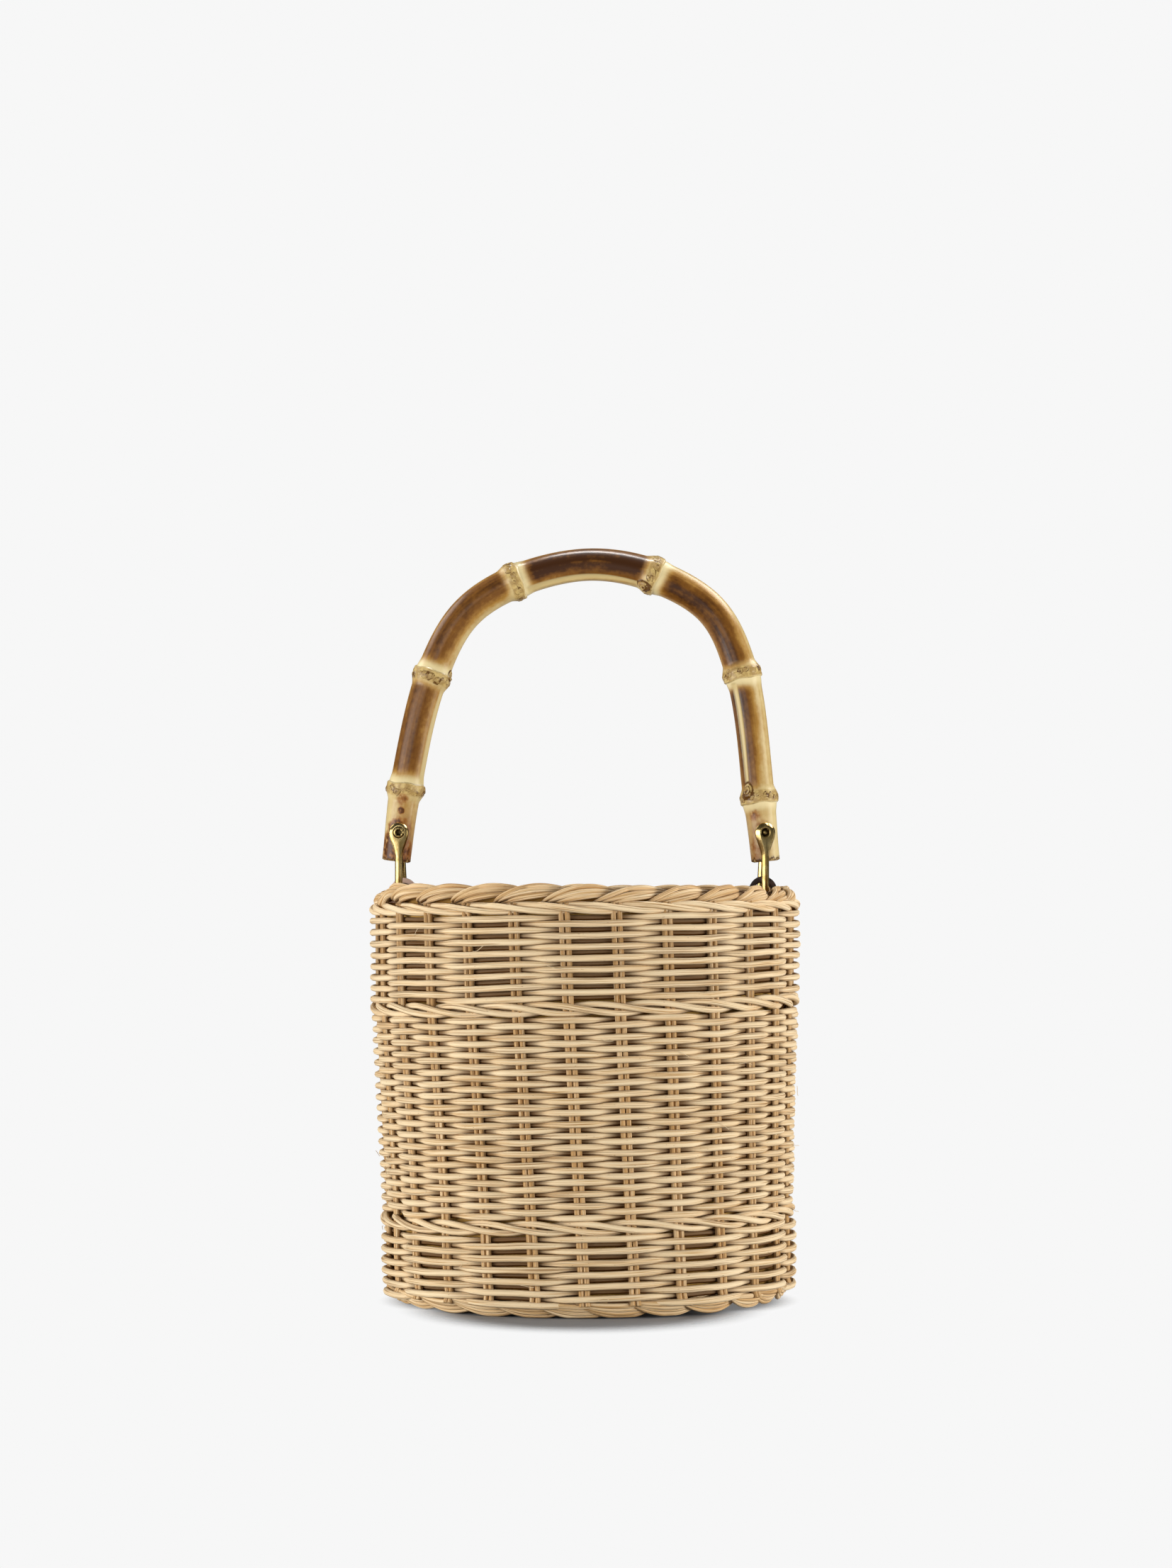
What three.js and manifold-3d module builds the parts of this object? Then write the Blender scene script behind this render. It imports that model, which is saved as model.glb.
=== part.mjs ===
// A round bucket handbag woven from rattan, with a bent bamboo handle in brass shackles.
// Millimetres, +Z up. The origin is on the floor, under the middle of the rim. The front faces -Y.
import * as THREE from "three";
import { LoftGeometry } from "three/addons/geometries/LoftGeometry.js";
import { mergeVertices } from "three/addons/utils/BufferGeometryUtils.js";
import Module from "manifold-3d";

const wasm = await Module();
wasm.setup();

// Driving dimensions
const STAKES = 26; // upright rod pairs round the basket
const GAP = 0.3; // clearance between pieces that touch
const LEAN = 1.9; // how far the foot stands to the right of the rim
const LEAN_TOP = 125; // height above which the body is upright

const WALL_HALF = 3.0; // half the thickness of the weave
const WALL_BOTTOM = 8.0;
const WALL_TOP = 167.2;
const GROOVE_STEP = 0.2; // a wale's groove lies this far outside the stakes
const LINING_THICK = 1.0;
const LINING_TOP = 165;

const BASE_BOTTOM = 4.5;
const BASE_TOP = 8.5;

const ROUND_SIDES = 12; // facets round the bamboo, the bar and the screws
const NODE_SWELL = 1.5; // how far a bamboo node stands out
const NODE_SHOULDER = 0.9; // how far it stands out half way down its swelling
const NODE_HALF = 4.0; // half the length of a node's swelling
const INTERNODE_STEPS = 4;

const BAR_Z = 173.2;
const BAR_RADIUS = 1.6;
const EYE_RISE = 24.0; // from the bar up to the eye
const EYE_RADIUS = 4.2;
const EYE_HOLE = 2.5;
const EYE_FLARE = Math.PI / 6; // the leg's sides meet the eye this far below its middle
const NECK_RISE = 13.0; // where the leg begins to widen into the eye
const LEG_INNER = 6.5;
const LEG_THICK = 3.0;

const SCREW_RADIUS = 2.2;
const SCREW_DOME = 0.5; // the screw's ends stand this far out of the eyes
const SCREW_EDGE = 1.6; // radius where an end's rounding begins
const RECESS_RADIUS = 1.1;
const RECESS_DEPTH = 0.9;
const BAMBOO_HOLE = 2.6;

const LEATHER_THICK = 2.2;
const LEATHER_WIDTH = 10;
const LEATHER_BOTTOM = 150;
const LEATHER_PINCH = 11.0; // the two layers lie together this far below the bar
const LOOP_INSIDE = 3.6; // the loop's inner radius, wider than the bar

// Each shackle's bar and screws stand this far from the middle. The leather loop's middle lies
// a little further in than the bar, and a little below it.
const HANGERS = [
  { side: "left", turn: Math.PI, bar: 78.15, inset: 1.85, drop: 0.2 },
  { side: "right", turn: 0, bar: 76.3, inset: 0.8, drop: 1.6 },
];

// The stake ring's radius at each height
const STAKE_RING = [
  { z: 0, radius: 83.2 },
  { z: 20, radius: 84.4 },
  { z: 40, radius: 83.9 },
  { z: 80, radius: 85.3 },
  { z: 125, radius: 87.2 },
  { z: 175, radius: 87.6 },
];

// The twisted bands: middle height, half height, and -1 where the strands sink to the right
const WALES = [
  { name: "rim_wale", z: 165.4, halfHigh: 2.6, turn: -1 },
  { name: "waist_wale", z: 125.1, halfHigh: 3.0, turn: -1 },
  { name: "lower_wale", z: 36.9, halfHigh: 3.0, turn: -1 },
];
const WALE_INNER = 0.6; // from the stakes to the band's inner face
const WALE_OUTER = 3.5;
const RIM_BORDER = { radius: 85.6, z: 171, halfWide: 3.5, halfHigh: 3.5, turn: 1 };
const VALLEY = 0.74; // a twisted band's valleys, as a share of its crests
const STRANDS = 3; // strands in a twisted band

// The foot border's section. lift and bulge are added between two scallops.
const FOOT_SECTION = [
  { radius: 72.2, z: 4.2, lift: 0, bulge: 0 },
  { radius: 80.3, z: 4.2, lift: 0, bulge: 0 },
  { radius: 80.3, z: 7.7, lift: 0, bulge: 0 },
  { radius: 83.2, z: 7.7, lift: 0, bulge: 0 },
  { radius: 82.6, z: 4.4, lift: 0.4, bulge: -0.8 },
  { radius: 81.0, z: 1.6, lift: 1.2, bulge: -0.8 },
  { radius: 78.2, z: 0, lift: 0, bulge: 0 },
  { radius: 73.0, z: 0, lift: 0, bulge: 0 },
];
const BASE_RADIUS = 80.0;

// The bamboo's middle line in the plane of the handle, from the left end to the right one
const HANDLE_LINE = [
  { at: "left end", x: -79.4, z: 186.2, radius: 6.0, node: false },
  { at: "left low node", x: -75.7, z: 215.7, radius: 6.8, node: true },
  { at: "left middle node", x: -64.6, z: 263.4, radius: 7.0, node: true },
  { at: "left shoulder", x: -50.5, z: 289.6, radius: 7.0, node: false },
  { at: "left top node", x: -29.2, z: 303.6, radius: 7.1, node: true },
  { at: "crown", x: 1.7, z: 310.8, radius: 7.0, node: false },
  { at: "right top node", x: 29.2, z: 306.2, radius: 7.1, node: true },
  { at: "right shoulder", x: 54.2, z: 291.2, radius: 7.0, node: false },
  { at: "right middle node", x: 66.8, z: 264.4, radius: 7.0, node: true },
  { at: "right low node", x: 74.0, z: 212.0, radius: 6.8, node: true },
  { at: "right end", x: 76.7, z: 185.8, radius: 6.0, node: false },
];

// Finishes
const finish = (color, roughness, metalness) =>
  new THREE.MeshStandardMaterial({ color, roughness, metalness });
const rattan = () => finish(0xd2b17c, 0.7, 0);
const bamboo = () => finish(0xa8763c, 0.3, 0);
const brass = () => finish(0xc9a24a, 0.25, 1);
const leather = () => finish(0x3a2823, 0.5, 0);
const cloth = () => finish(0xa98353, 0.9, 0);

const handbag = new THREE.Group();

function addMesh(name, geometry, material, parent = handbag) {
  const mesh = new THREE.Mesh(geometry, material);
  mesh.name = name;
  parent.add(mesh);
  return mesh;
}

// A closed geometry as a solid that can be joined or cut
function solidOf(geometry) {
  const bare = new THREE.BufferGeometry().copy(geometry);
  bare.deleteAttribute("normal");
  bare.deleteAttribute("uv");
  const merged = mergeVertices(bare, 1e-3);
  const vertProperties = new Float32Array(merged.getAttribute("position").array);
  const triVerts = new Uint32Array(merged.index.array);
  return new wasm.Manifold(new wasm.Mesh({ numProp: 3, vertProperties, triVerts }));
}

function geometryOf(solid) {
  const mesh = solid.getMesh();
  const geometry = new THREE.BufferGeometry();
  geometry.setAttribute("position", new THREE.BufferAttribute(mesh.vertProperties, 3));
  geometry.setIndex(new THREE.BufferAttribute(mesh.triVerts, 1));
  geometry.computeVertexNormals();
  return geometry;
}

// Where the basket's axis stands at a height
const leanAt = (z) => LEAN * Math.max(0, 1 - z / LEAN_TOP);

function stakeRadius(z) {
  const above = STAKE_RING.findIndex((row) => row.z >= z);
  const high = STAKE_RING[Math.max(1, above)];
  const low = STAKE_RING[Math.max(1, above) - 1];
  return THREE.MathUtils.mapLinear(z, low.z, high.z, low.radius, high.radius);
}

// A point of the basket: the angle starts at the front and runs to the right
function basketPoint(angle, radius, z) {
  const x = leanAt(z) + radius * Math.sin(angle);
  return new THREE.Vector3(x, -radius * Math.cos(angle), z);
}

// A profile of [radius, z] points turned round the leaning axis, two facets to a stake
function turned(profile) {
  const points = profile.map(([radius, z]) => new THREE.Vector2(radius, z));
  const geometry = new THREE.LatheGeometry(points, 2 * STAKES);
  geometry.rotateX(Math.PI / 2);
  const position = geometry.getAttribute("position");
  for (let i = 0; i < position.count; i++) {
    position.setX(i, position.getX(i) + leanAt(position.getZ(i)));
  }
  return geometry;
}

// The heights between two levels where the basket's outline bends
const bendsBetween = (low, high) =>
  STAKE_RING.map((row) => row.z).filter((z) => z > low && z < high);

// The woven wall: its outline follows the stakes, with a groove for each wale
function wovenWall() {
  const outer = (z) => [stakeRadius(z) + WALL_HALF, z];
  const inner = (z) => [stakeRadius(z) - WALL_HALF, z];
  const groove = (z) => [stakeRadius(z) + GROOVE_STEP, z];
  const below = (wale) => wale.z - wale.halfHigh - GAP;
  const above = (wale) => Math.min(wale.z + wale.halfHigh + GAP, WALL_TOP);
  const inGroove = (z) => WALES.some((wale) => z > below(wale) && z < above(wale));
  const bends = bendsBetween(WALL_BOTTOM, WALL_TOP);
  const outside = bends.filter((z) => !inGroove(z)).map(outer);
  for (const wale of WALES) {
    outside.push(outer(below(wale)), groove(below(wale)), groove(above(wale)));
    if (above(wale) < WALL_TOP) outside.push(outer(above(wale)));
  }
  outside.sort((a, b) => a[1] - b[1]);
  const inside = [WALL_TOP, ...bends.reverse(), WALL_BOTTOM].map(inner);
  const start = outer(WALL_BOTTOM);
  return turned([start, ...outside, ...inside, start]);
}

// A ring of twisted strands, one stroke to a stake
function twistedRing({ radius, z, halfWide, halfHigh, turn }, steps) {
  const corners = 2 * STRANDS;
  const sections = [];
  for (let i = 0; i <= steps; i++) {
    const angle = (2 * Math.PI * i) / steps;
    const twist = (turn * angle * STAKES) / STRANDS;
    const section = [];
    for (let k = 0; k < corners; k++) {
      const around = twist - (2 * Math.PI * k) / corners;
      const size = k % 2 ? VALLEY : 1;
      const r = radius + size * halfWide * Math.cos(around);
      section.push(basketPoint(angle, r, z + size * halfHigh * Math.sin(around)));
    }
    sections.push(section);
  }
  return new LoftGeometry(sections);
}

function wale({ z, halfHigh, turn }) {
  const radius = stakeRadius(z) + (WALE_INNER + WALE_OUTER) / 2;
  const halfWide = (WALE_OUTER - WALE_INNER) / 2;
  return twistedRing({ radius, z, halfWide, halfHigh, turn }, 2 * STAKES);
}

// The foot border: a flat-bottomed ring whose outer edge dips between the stakes
function footBorder() {
  const sections = [];
  for (let i = 0; i <= 2 * STAKES; i++) {
    const angle = (Math.PI * i) / STAKES;
    const rise = i % 2;
    const point = (row) =>
      basketPoint(angle, row.radius + rise * row.bulge, row.z + rise * row.lift);
    sections.push(FOOT_SECTION.map(point));
  }
  return new LoftGeometry(sections);
}

function wovenBase() {
  const profile = [
    [0, BASE_BOTTOM],
    [BASE_RADIUS - 1, BASE_BOTTOM],
    [BASE_RADIUS, (BASE_BOTTOM + BASE_TOP) / 2],
    [BASE_RADIUS - 1, BASE_TOP],
    [0, BASE_TOP],
  ];
  return turned(profile);
}

// The cloth cup inside the weave
function liningCup() {
  const outer = (z) => stakeRadius(z) - WALL_HALF - GAP;
  const floor = BASE_TOP + GAP;
  const heights = [...bendsBetween(floor + LINING_THICK, LINING_TOP), LINING_TOP];
  const up = heights.map((z) => [outer(z), z]);
  const down = heights.map((z) => [outer(z) - LINING_THICK, z]).reverse();
  const floorTop = floor + LINING_THICK;
  const profile = [
    [0, floor],
    [outer(floor), floor],
    ...up,
    ...down,
    [outer(floorTop) - LINING_THICK, floorTop],
    [0, floorTop],
  ];
  return turned(profile);
}

// The bamboo: a round section along the middle line, swelling at each node
function bambooHandle() {
  const points = HANDLE_LINE.map(({ x, z }) => new THREE.Vector3(x, 0, z));
  const line = new THREE.CatmullRomCurve3(points, false, "centripetal");
  const spans = HANDLE_LINE.length - 1;
  const sections = [];
  const addSection = (place, swell) => {
    const t = place / spans;
    const span = Math.min(spans - 1, Math.floor(place));
    const from = HANDLE_LINE[span].radius;
    const to = HANDLE_LINE[span + 1].radius;
    const radius = THREE.MathUtils.lerp(from, to, place - span) + swell;
    const middle = line.getPoint(t);
    const tangent = line.getTangent(t);
    const side = new THREE.Vector3(tangent.z, 0, -tangent.x);
    const section = [];
    for (let k = 0; k < ROUND_SIDES; k++) {
      const around = (2 * Math.PI * k) / ROUND_SIDES;
      const point = middle.clone().addScaledVector(side, radius * Math.cos(around));
      point.y += radius * Math.sin(around);
      section.push(point);
    }
    sections.push(section);
  };
  for (let i = 0; i < spans; i++) {
    const length = points[i].distanceTo(points[i + 1]);
    const edge = NODE_HALF / length;
    const start = HANDLE_LINE[i].node ? edge : 0;
    const end = HANDLE_LINE[i + 1].node ? 1 - edge : 1;
    if (HANDLE_LINE[i].node) addSection(i, NODE_SWELL);
    if (start > 0) addSection(i + start / 2, NODE_SHOULDER);
    for (let k = 0; k < INTERNODE_STEPS; k++) {
      addSection(i + THREE.MathUtils.lerp(start, end, k / INTERNODE_STEPS), 0);
    }
    if (end < 1) addSection(i + end, 0);
  }
  addSection(spans, 0);
  const solid = solidOf(new LoftGeometry(sections, { capStart: true, capEnd: true }));
  const drill = ({ turn, bar }) => {
    const bore = new THREE.CylinderGeometry(BAMBOO_HOLE, BAMBOO_HOLE, 4 * LEG_INNER, ROUND_SIDES);
    return solidOf(bore.translate(Math.cos(turn) * bar, 0, BAR_Z + EYE_RISE));
  };
  return geometryOf(HANGERS.map(drill).reduce((rest, hole) => rest.subtract(hole), solid));
}

// One leg of a shackle: a rod that widens into a teardrop eye, drawn from the bar upwards
function legShape() {
  const shape = new THREE.Shape();
  const eyeX = EYE_RADIUS * Math.cos(EYE_FLARE);
  const eyeZ = EYE_RISE - EYE_RADIUS * Math.sin(EYE_FLARE);
  shape.absarc(0, 0, BAR_RADIUS, Math.PI, 2 * Math.PI);
  shape.lineTo(BAR_RADIUS, NECK_RISE);
  shape.quadraticCurveTo(BAR_RADIUS, eyeZ - EYE_RADIUS, eyeX, eyeZ);
  shape.absarc(0, EYE_RISE, EYE_RADIUS, -EYE_FLARE, Math.PI + EYE_FLARE);
  shape.quadraticCurveTo(-BAR_RADIUS, eyeZ - EYE_RADIUS, -BAR_RADIUS, NECK_RISE);
  shape.closePath();
  const hole = new THREE.Path();
  hole.absarc(0, EYE_RISE, EYE_HOLE, 0, 2 * Math.PI, true);
  shape.holes.push(hole);
  return shape;
}

// A shackle stands on its bottom bar, with one leg in front of the bamboo and one behind
function shackle() {
  const leg = new THREE.ExtrudeGeometry(legShape(), {
    depth: LEG_THICK,
    bevelEnabled: false,
    curveSegments: 7,
  });
  leg.rotateX(Math.PI / 2);
  const rear = solidOf(leg.clone().translate(0, LEG_INNER + LEG_THICK, 0));
  const front = solidOf(leg.clone().translate(0, -LEG_INNER, 0));
  const length = 2 * LEG_INNER + LEG_THICK;
  const bar = new THREE.CylinderGeometry(BAR_RADIUS, BAR_RADIUS, length, ROUND_SIDES);
  return geometryOf(rear.add(front).add(solidOf(bar)));
}

// The screw lies along Y, with a driver recess in its front end
function screw() {
  const half = LEG_INNER + LEG_THICK;
  const profile = [
    [0, RECESS_DEPTH - half - SCREW_DOME],
    [RECESS_RADIUS, -half - SCREW_DOME],
    [SCREW_EDGE, -half - SCREW_DOME],
    [SCREW_RADIUS, -half],
    [SCREW_RADIUS, half],
    [SCREW_EDGE, half + SCREW_DOME],
    [0, half + SCREW_DOME],
  ];
  const points = profile.map(([radius, y]) => new THREE.Vector2(radius, y));
  return new THREE.LatheGeometry(points, ROUND_SIDES);
}

// The leather strap: it comes up the inside of the wall, goes over the bar and back down on itself.
// Drawn for the right side, with the bar at the origin.
function leatherLoop({ bar, inset, drop }) {
  const outside = LOOP_INSIDE + LEATHER_THICK;
  // the flat strap keeps one more gap, because the lining behind it is round
  const liningFace = stakeRadius(LEATHER_BOTTOM) - WALL_HALF - GAP - LINING_THICK;
  const tail = liningFace - 2 * GAP - bar;
  const pinch = -LEATHER_PINCH;
  const bottom = LEATHER_BOTTOM - BAR_Z;
  const shape = new THREE.Shape();
  shape.moveTo(tail, bottom);
  shape.lineTo(tail, pinch);
  shape.absarc(-inset, -drop, outside, 0, Math.PI);
  shape.quadraticCurveTo(-inset - outside, pinch / 2, tail - 2 * LEATHER_THICK, pinch);
  shape.lineTo(tail - 2 * LEATHER_THICK, bottom);
  shape.closePath();
  const hole = new THREE.Path();
  hole.absarc(-inset, -drop, LOOP_INSIDE, 0, 2 * Math.PI, true);
  shape.holes.push(hole);
  const strap = new THREE.ExtrudeGeometry(shape, {
    depth: LEATHER_WIDTH,
    bevelEnabled: false,
    curveSegments: 8,
  });
  strap.rotateX(Math.PI / 2);
  strap.translate(0, LEATHER_WIDTH / 2, 0);
  return strap;
}

addMesh("woven_wall", wovenWall(), rattan());
for (const row of WALES) addMesh(row.name, wale(row), rattan());
addMesh("rim_border", twistedRing(RIM_BORDER, 3 * STAKES), rattan());
addMesh("foot_border", footBorder(), rattan());
addMesh("base", wovenBase(), rattan());
addMesh("lining", liningCup(), cloth());
addMesh("bamboo_handle", bambooHandle(), bamboo());

for (const place of HANGERS) {
  const hanger = new THREE.Group();
  hanger.position.set(Math.cos(place.turn) * place.bar, 0, BAR_Z);
  handbag.add(hanger);
  addMesh(`shackle_${place.side}`, shackle(), brass(), hanger);
  addMesh(`screw_${place.side}`, screw(), brass(), hanger).position.z = EYE_RISE;
  const loop = addMesh(`leather_loop_${place.side}`, leatherLoop(place), leather(), hanger);
  loop.rotation.z = place.turn;
}

export default handbag;
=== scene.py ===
# %% [markdown]
# A round bucket bag, woven by hand from rattan core, with a bent bamboo root as its handle.
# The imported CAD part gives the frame: every size below is in metres, in that frame.
# Its solids keep the collision shapes, and the pieces made here stand in their place.

import math

import bmesh
import bpy
import numpy as np
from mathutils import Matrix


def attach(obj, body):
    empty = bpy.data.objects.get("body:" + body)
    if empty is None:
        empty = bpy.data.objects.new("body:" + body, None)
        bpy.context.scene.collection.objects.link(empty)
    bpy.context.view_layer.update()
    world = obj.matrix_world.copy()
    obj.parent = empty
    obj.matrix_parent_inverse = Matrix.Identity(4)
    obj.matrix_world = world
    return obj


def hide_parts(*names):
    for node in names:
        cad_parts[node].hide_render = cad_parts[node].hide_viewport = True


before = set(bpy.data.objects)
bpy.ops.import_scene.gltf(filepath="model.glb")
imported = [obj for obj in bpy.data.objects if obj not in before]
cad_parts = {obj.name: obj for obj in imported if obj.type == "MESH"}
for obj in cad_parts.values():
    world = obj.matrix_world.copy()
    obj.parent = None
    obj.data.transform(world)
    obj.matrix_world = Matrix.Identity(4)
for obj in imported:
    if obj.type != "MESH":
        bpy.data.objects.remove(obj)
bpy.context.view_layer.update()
TURN = 2 * math.pi

# %% [markdown]
# Node trees are easier to read as sums. A small class wraps an output socket, so that
# an expression such as 1 - mask adds its own Math nodes. One method adds any other node.
# The same class serves the materials and the Geometry Nodes trees.

# %% A socket that can be added up
class Wire:
    """An output socket of a node tree that can stand in Python sums."""

    def __init__(self, tree, socket=None):
        self.tree = tree
        self.socket = socket

    def node(self, kind, settings=None, sockets=None, out=0):
        """Adds a node: first its settings, then the values or wires of its sockets."""
        made = self.tree.nodes.new(kind)
        for name, value in (settings or {}).items():
            if name == "stops":
                set_stops(made.color_ramp, value)
            else:
                setattr(made, name, value)
        for name, value in (sockets or {}).items():
            if isinstance(value, Wire):
                self.tree.links.new(value.socket, made.inputs[name])
            else:
                made.inputs[name].default_value = value
        return Wire(self.tree, made.outputs[out])

    def other(self, name):
        """Another output of the same node."""
        return Wire(self.tree, self.socket.node.outputs[name])

    def math(self, operation, *values):
        return self.node("ShaderNodeMath", {"operation": operation}, dict(enumerate(values)))

    def __add__(self, value):
        return self.math("ADD", self, value)

    def __sub__(self, value):
        return self.math("SUBTRACT", self, value)

    def __rsub__(self, value):
        return self.math("SUBTRACT", value, self)

    def __mul__(self, value):
        return self.math("MULTIPLY", self, value)

    def __truediv__(self, value):
        return self.math("DIVIDE", self, value)

    def __rtruediv__(self, value):
        return self.math("DIVIDE", value, self)

    def __pow__(self, value):
        return self.math("POWER", self, value)

    __radd__ = __add__
    __rmul__ = __mul__

    def sin(self):
        return self.math("SINE", self)

    def cos(self):
        return self.math("COSINE", self)

    def floor(self):
        return self.math("FLOOR", self)

    def fraction(self):
        return self.math("FRACT", self)

    def at_least(self, low):
        return self.math("MAXIMUM", self, low)

    def over(self, low):
        """How far the value stands above low, and 0 below it."""
        return (self - low).at_least(0.0)

    def ease(self, low, high, start=0.0, end=1.0):
        """Runs smoothly from start to end as the value goes from low to high."""
        sockets = {0: self, 1: low, 2: high, 3: start, 4: end}
        return self.node("ShaderNodeMapRange", {"interpolation_type": "SMOOTHSTEP"}, sockets)

    def point(self, x, y, z):
        return self.node("ShaderNodeCombineXYZ", None, {"X": x, "Y": y, "Z": z})

    def split(self):
        """The x, y and z of a point."""
        x = self.node("ShaderNodeSeparateXYZ", None, {0: self})
        return x, x.other("Y"), x.other("Z")

    def noise(self, place, scale, detail=2.0):
        """Cloudy values round one half at a place."""
        sockets = {"Vector": place, "Scale": scale, "Detail": detail}
        return self.node("ShaderNodeTexNoise", None, sockets)

    def blend(self, low, high):
        """A colour between two others, by this value."""
        sockets = {0: self, 6: low, 7: high}
        return self.node("ShaderNodeMix", {"data_type": "RGBA"}, sockets, out=2)


def set_stops(ramp, stops):
    """Gives a colour ramp its stops, as (place, colour) pairs."""
    while len(ramp.elements) < len(stops):
        ramp.elements.new(1.0)
    for element, (place, colour) in zip(ramp.elements, stops):
        element.position = place
        element.color = colour


# %% [markdown]
# Colours are written as screen values from 0 to 255. A finish is one shader: what is the same
# everywhere is set on it by name, and what changes over the surface is wired into it.

# %% Colours and materials
def rgb(red, green, blue):
    """A colour seen as these screen values, as Blender counts light."""
    def linear(value):
        share = value / 255
        return share / 12.92 if share <= 0.04045 else ((share + 0.055) / 1.055) ** 2.4

    return (linear(red), linear(green), linear(blue), 1.0)


def finish(name, paint, **constants):
    """A material: constants go on the shader, and paint gives what changes over the surface."""
    material = bpy.data.materials.new(name)
    material.use_nodes = True
    shader = material.node_tree.nodes["Principled BSDF"]
    for socket, value in constants.items():
        shader.inputs[socket.replace("_", " ")].default_value = value
    for socket, wire in paint(Wire(material.node_tree)).items():
        material.node_tree.links.new(wire.socket, shader.inputs[socket])
    print("material", name)
    return material


def mark(start, name, out="Fac"):
    """A value that a mesh keeps at its points."""
    return start.node("ShaderNodeAttribute", {"attribute_name": name}, out=out)


def own_place(start):
    """Where a point lies in its object's own coordinates."""
    return start.node("ShaderNodeTexCoord", out="Object")


def bumped(start, height, strength, distance):
    """The surface's normal, tilted as if the height were relief."""
    sockets = {"Height": height, "Strength": strength, "Distance": distance}
    return start.node("ShaderNodeBump", None, sockets)


# %% [markdown]
# The photograph was taken from the height of the rim with a long lens, looking up a little.
# A pixel is 0.3 mm at the bag's middle, so 6000 pixels of focal length put the lens at 1.8 m.

# %% The camera
IMAGE_HEIGHT = 2212
FOCAL_PIXELS = 6000
PIXEL = 0.0003
CAMERA_ASIDE = 0.00075
RIM_HEIGHT = 0.174
HORIZON_ROW = 1252
SENSOR = 36.0

lens = bpy.data.cameras.new("lens")
lens.sensor_width = SENSOR
lens.lens = FOCAL_PIXELS * SENSOR / IMAGE_HEIGHT
camera = bpy.data.objects.new("camera", lens)
camera.location = (CAMERA_ASIDE, -FOCAL_PIXELS * PIXEL, RIM_HEIGHT)
look_up = math.atan((HORIZON_ROW - IMAGE_HEIGHT / 2) / FOCAL_PIXELS)
camera.rotation_euler = (math.pi / 2 + look_up, 0, 0)
bpy.context.collection.objects.link(camera)
bpy.context.scene.camera = camera
print("camera lens in mm:", round(lens.lens, 1))

# %% [markdown]
# The bag stands on a grey floor that runs out into the white behind it. The floor is opaque
# under the bag and just in front of it, where the soft shadow falls, and clear further out,
# so there is no line between floor and background. Its grey and the fading edge of where it
# is opaque paint the shadow's darkness and shape, on top of the shade that the lamps cast.

# %% The floor
FLOOR_SHADOW_GREY = (0.41, 0.43, 0.46, 1.0)
FLOOR_RADIUS = 0.3
SHADOW_FADE = (0.075, 0.113)
SHADOW_WIDTH = 0.7
SHADOW_FORWARD = 0.03
FOOT_SHADOW_FADE = (0.072, 0.09)
FOOT_MIDDLE = 0.002
FOOT_SHADOW_OPACITY = 0.85


def floor_paint(start):
    x, y, _ = own_place(start).split()
    # painted shadow: the grey floor shows only where these masks make it opaque, before the bag and
    # under its foot
    before = ((x / SHADOW_WIDTH) ** 2 + (y + SHADOW_FORWARD) ** 2) ** 0.5
    beneath = ((x - FOOT_MIDDLE) ** 2 + y ** 2) ** 0.5
    shadow = before.ease(*SHADOW_FADE, 1.0, 0.0)
    return {"Alpha": shadow.at_least(beneath.ease(*FOOT_SHADOW_FADE, FOOT_SHADOW_OPACITY, 0.0))}


def make_floor():
    mesh = bpy.data.meshes.new("floor")
    shape = bmesh.new()
    bmesh.ops.create_circle(shape, cap_ends=True, segments=96, radius=FLOOR_RADIUS)
    shape.to_mesh(mesh)
    shape.free()
    mesh.materials.append(finish(
        "studio_floor", floor_paint, Base_Color=FLOOR_SHADOW_GREY, Roughness=0.9, Specular_IOR_Level=0.1))
    floor = bpy.data.objects.new("floor", mesh)
    bpy.context.collection.objects.link(floor)


make_floor()
print("floor radius in metres:", FLOOR_RADIUS)

# %% [markdown]
# The studio is white where the camera looks past the bag. Two strips light the sides of the
# weave. Two panels and a card in front are mirrored in the brass, a light above makes the
# gloss on the crown of the handle, and one behind lifts the far side. Two gleams are seen in
# glossy things only, such as the bends of the lacquered bamboo.

# %% The light
BACKDROP = 0.93
ROOM_LIGHT = 0.06
GROUND_LIGHT = 0.4


def make_world():
    """White where the camera looks past the bag. The other rays meet a dim room, and white below."""
    world = bpy.data.worlds.new("studio")
    bpy.context.scene.world = world
    world.use_nodes = True
    tree = world.node_tree
    tree.nodes.clear()
    start = Wire(tree)
    way = start.node("ShaderNodeTexCoord", out="Generated")
    upward = way.split()[2]
    room = upward.ease(0.02, -0.12, ROOM_LIGHT, GROUND_LIGHT)
    seen = start.node("ShaderNodeLightPath", out="Is Camera Ray")
    strength = room + seen * (BACKDROP - room)
    sockets = {"Color": (1.0, 1.0, 1.0, 1.0), "Strength": strength}
    light = start.node("ShaderNodeBackground", None, sockets)
    end = tree.nodes.new("ShaderNodeOutputWorld")
    tree.links.new(light.socket, end.inputs["Surface"])


def soft_light(name, place, target, size, power, mirrored=True, spreads=True):
    """A rectangle of light. One that is not mirrored lights things but has no reflection,
    and one that does not spread is seen in glossy things only."""
    data = bpy.data.lights.new(name, "AREA")
    data.shape = "RECTANGLE"
    data.size, data.size_y = size
    data.energy = power
    light = bpy.data.objects.new(name, data)
    light.location = place
    light.visible_glossy = mirrored
    light.visible_diffuse = spreads
    bpy.context.collection.objects.link(light)
    aim = np.array(target) - np.array(place)
    flat = math.hypot(aim[0], aim[1])
    light.rotation_euler = (math.atan2(flat, -aim[2]), 0, math.atan2(-aim[0], aim[1]))


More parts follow.
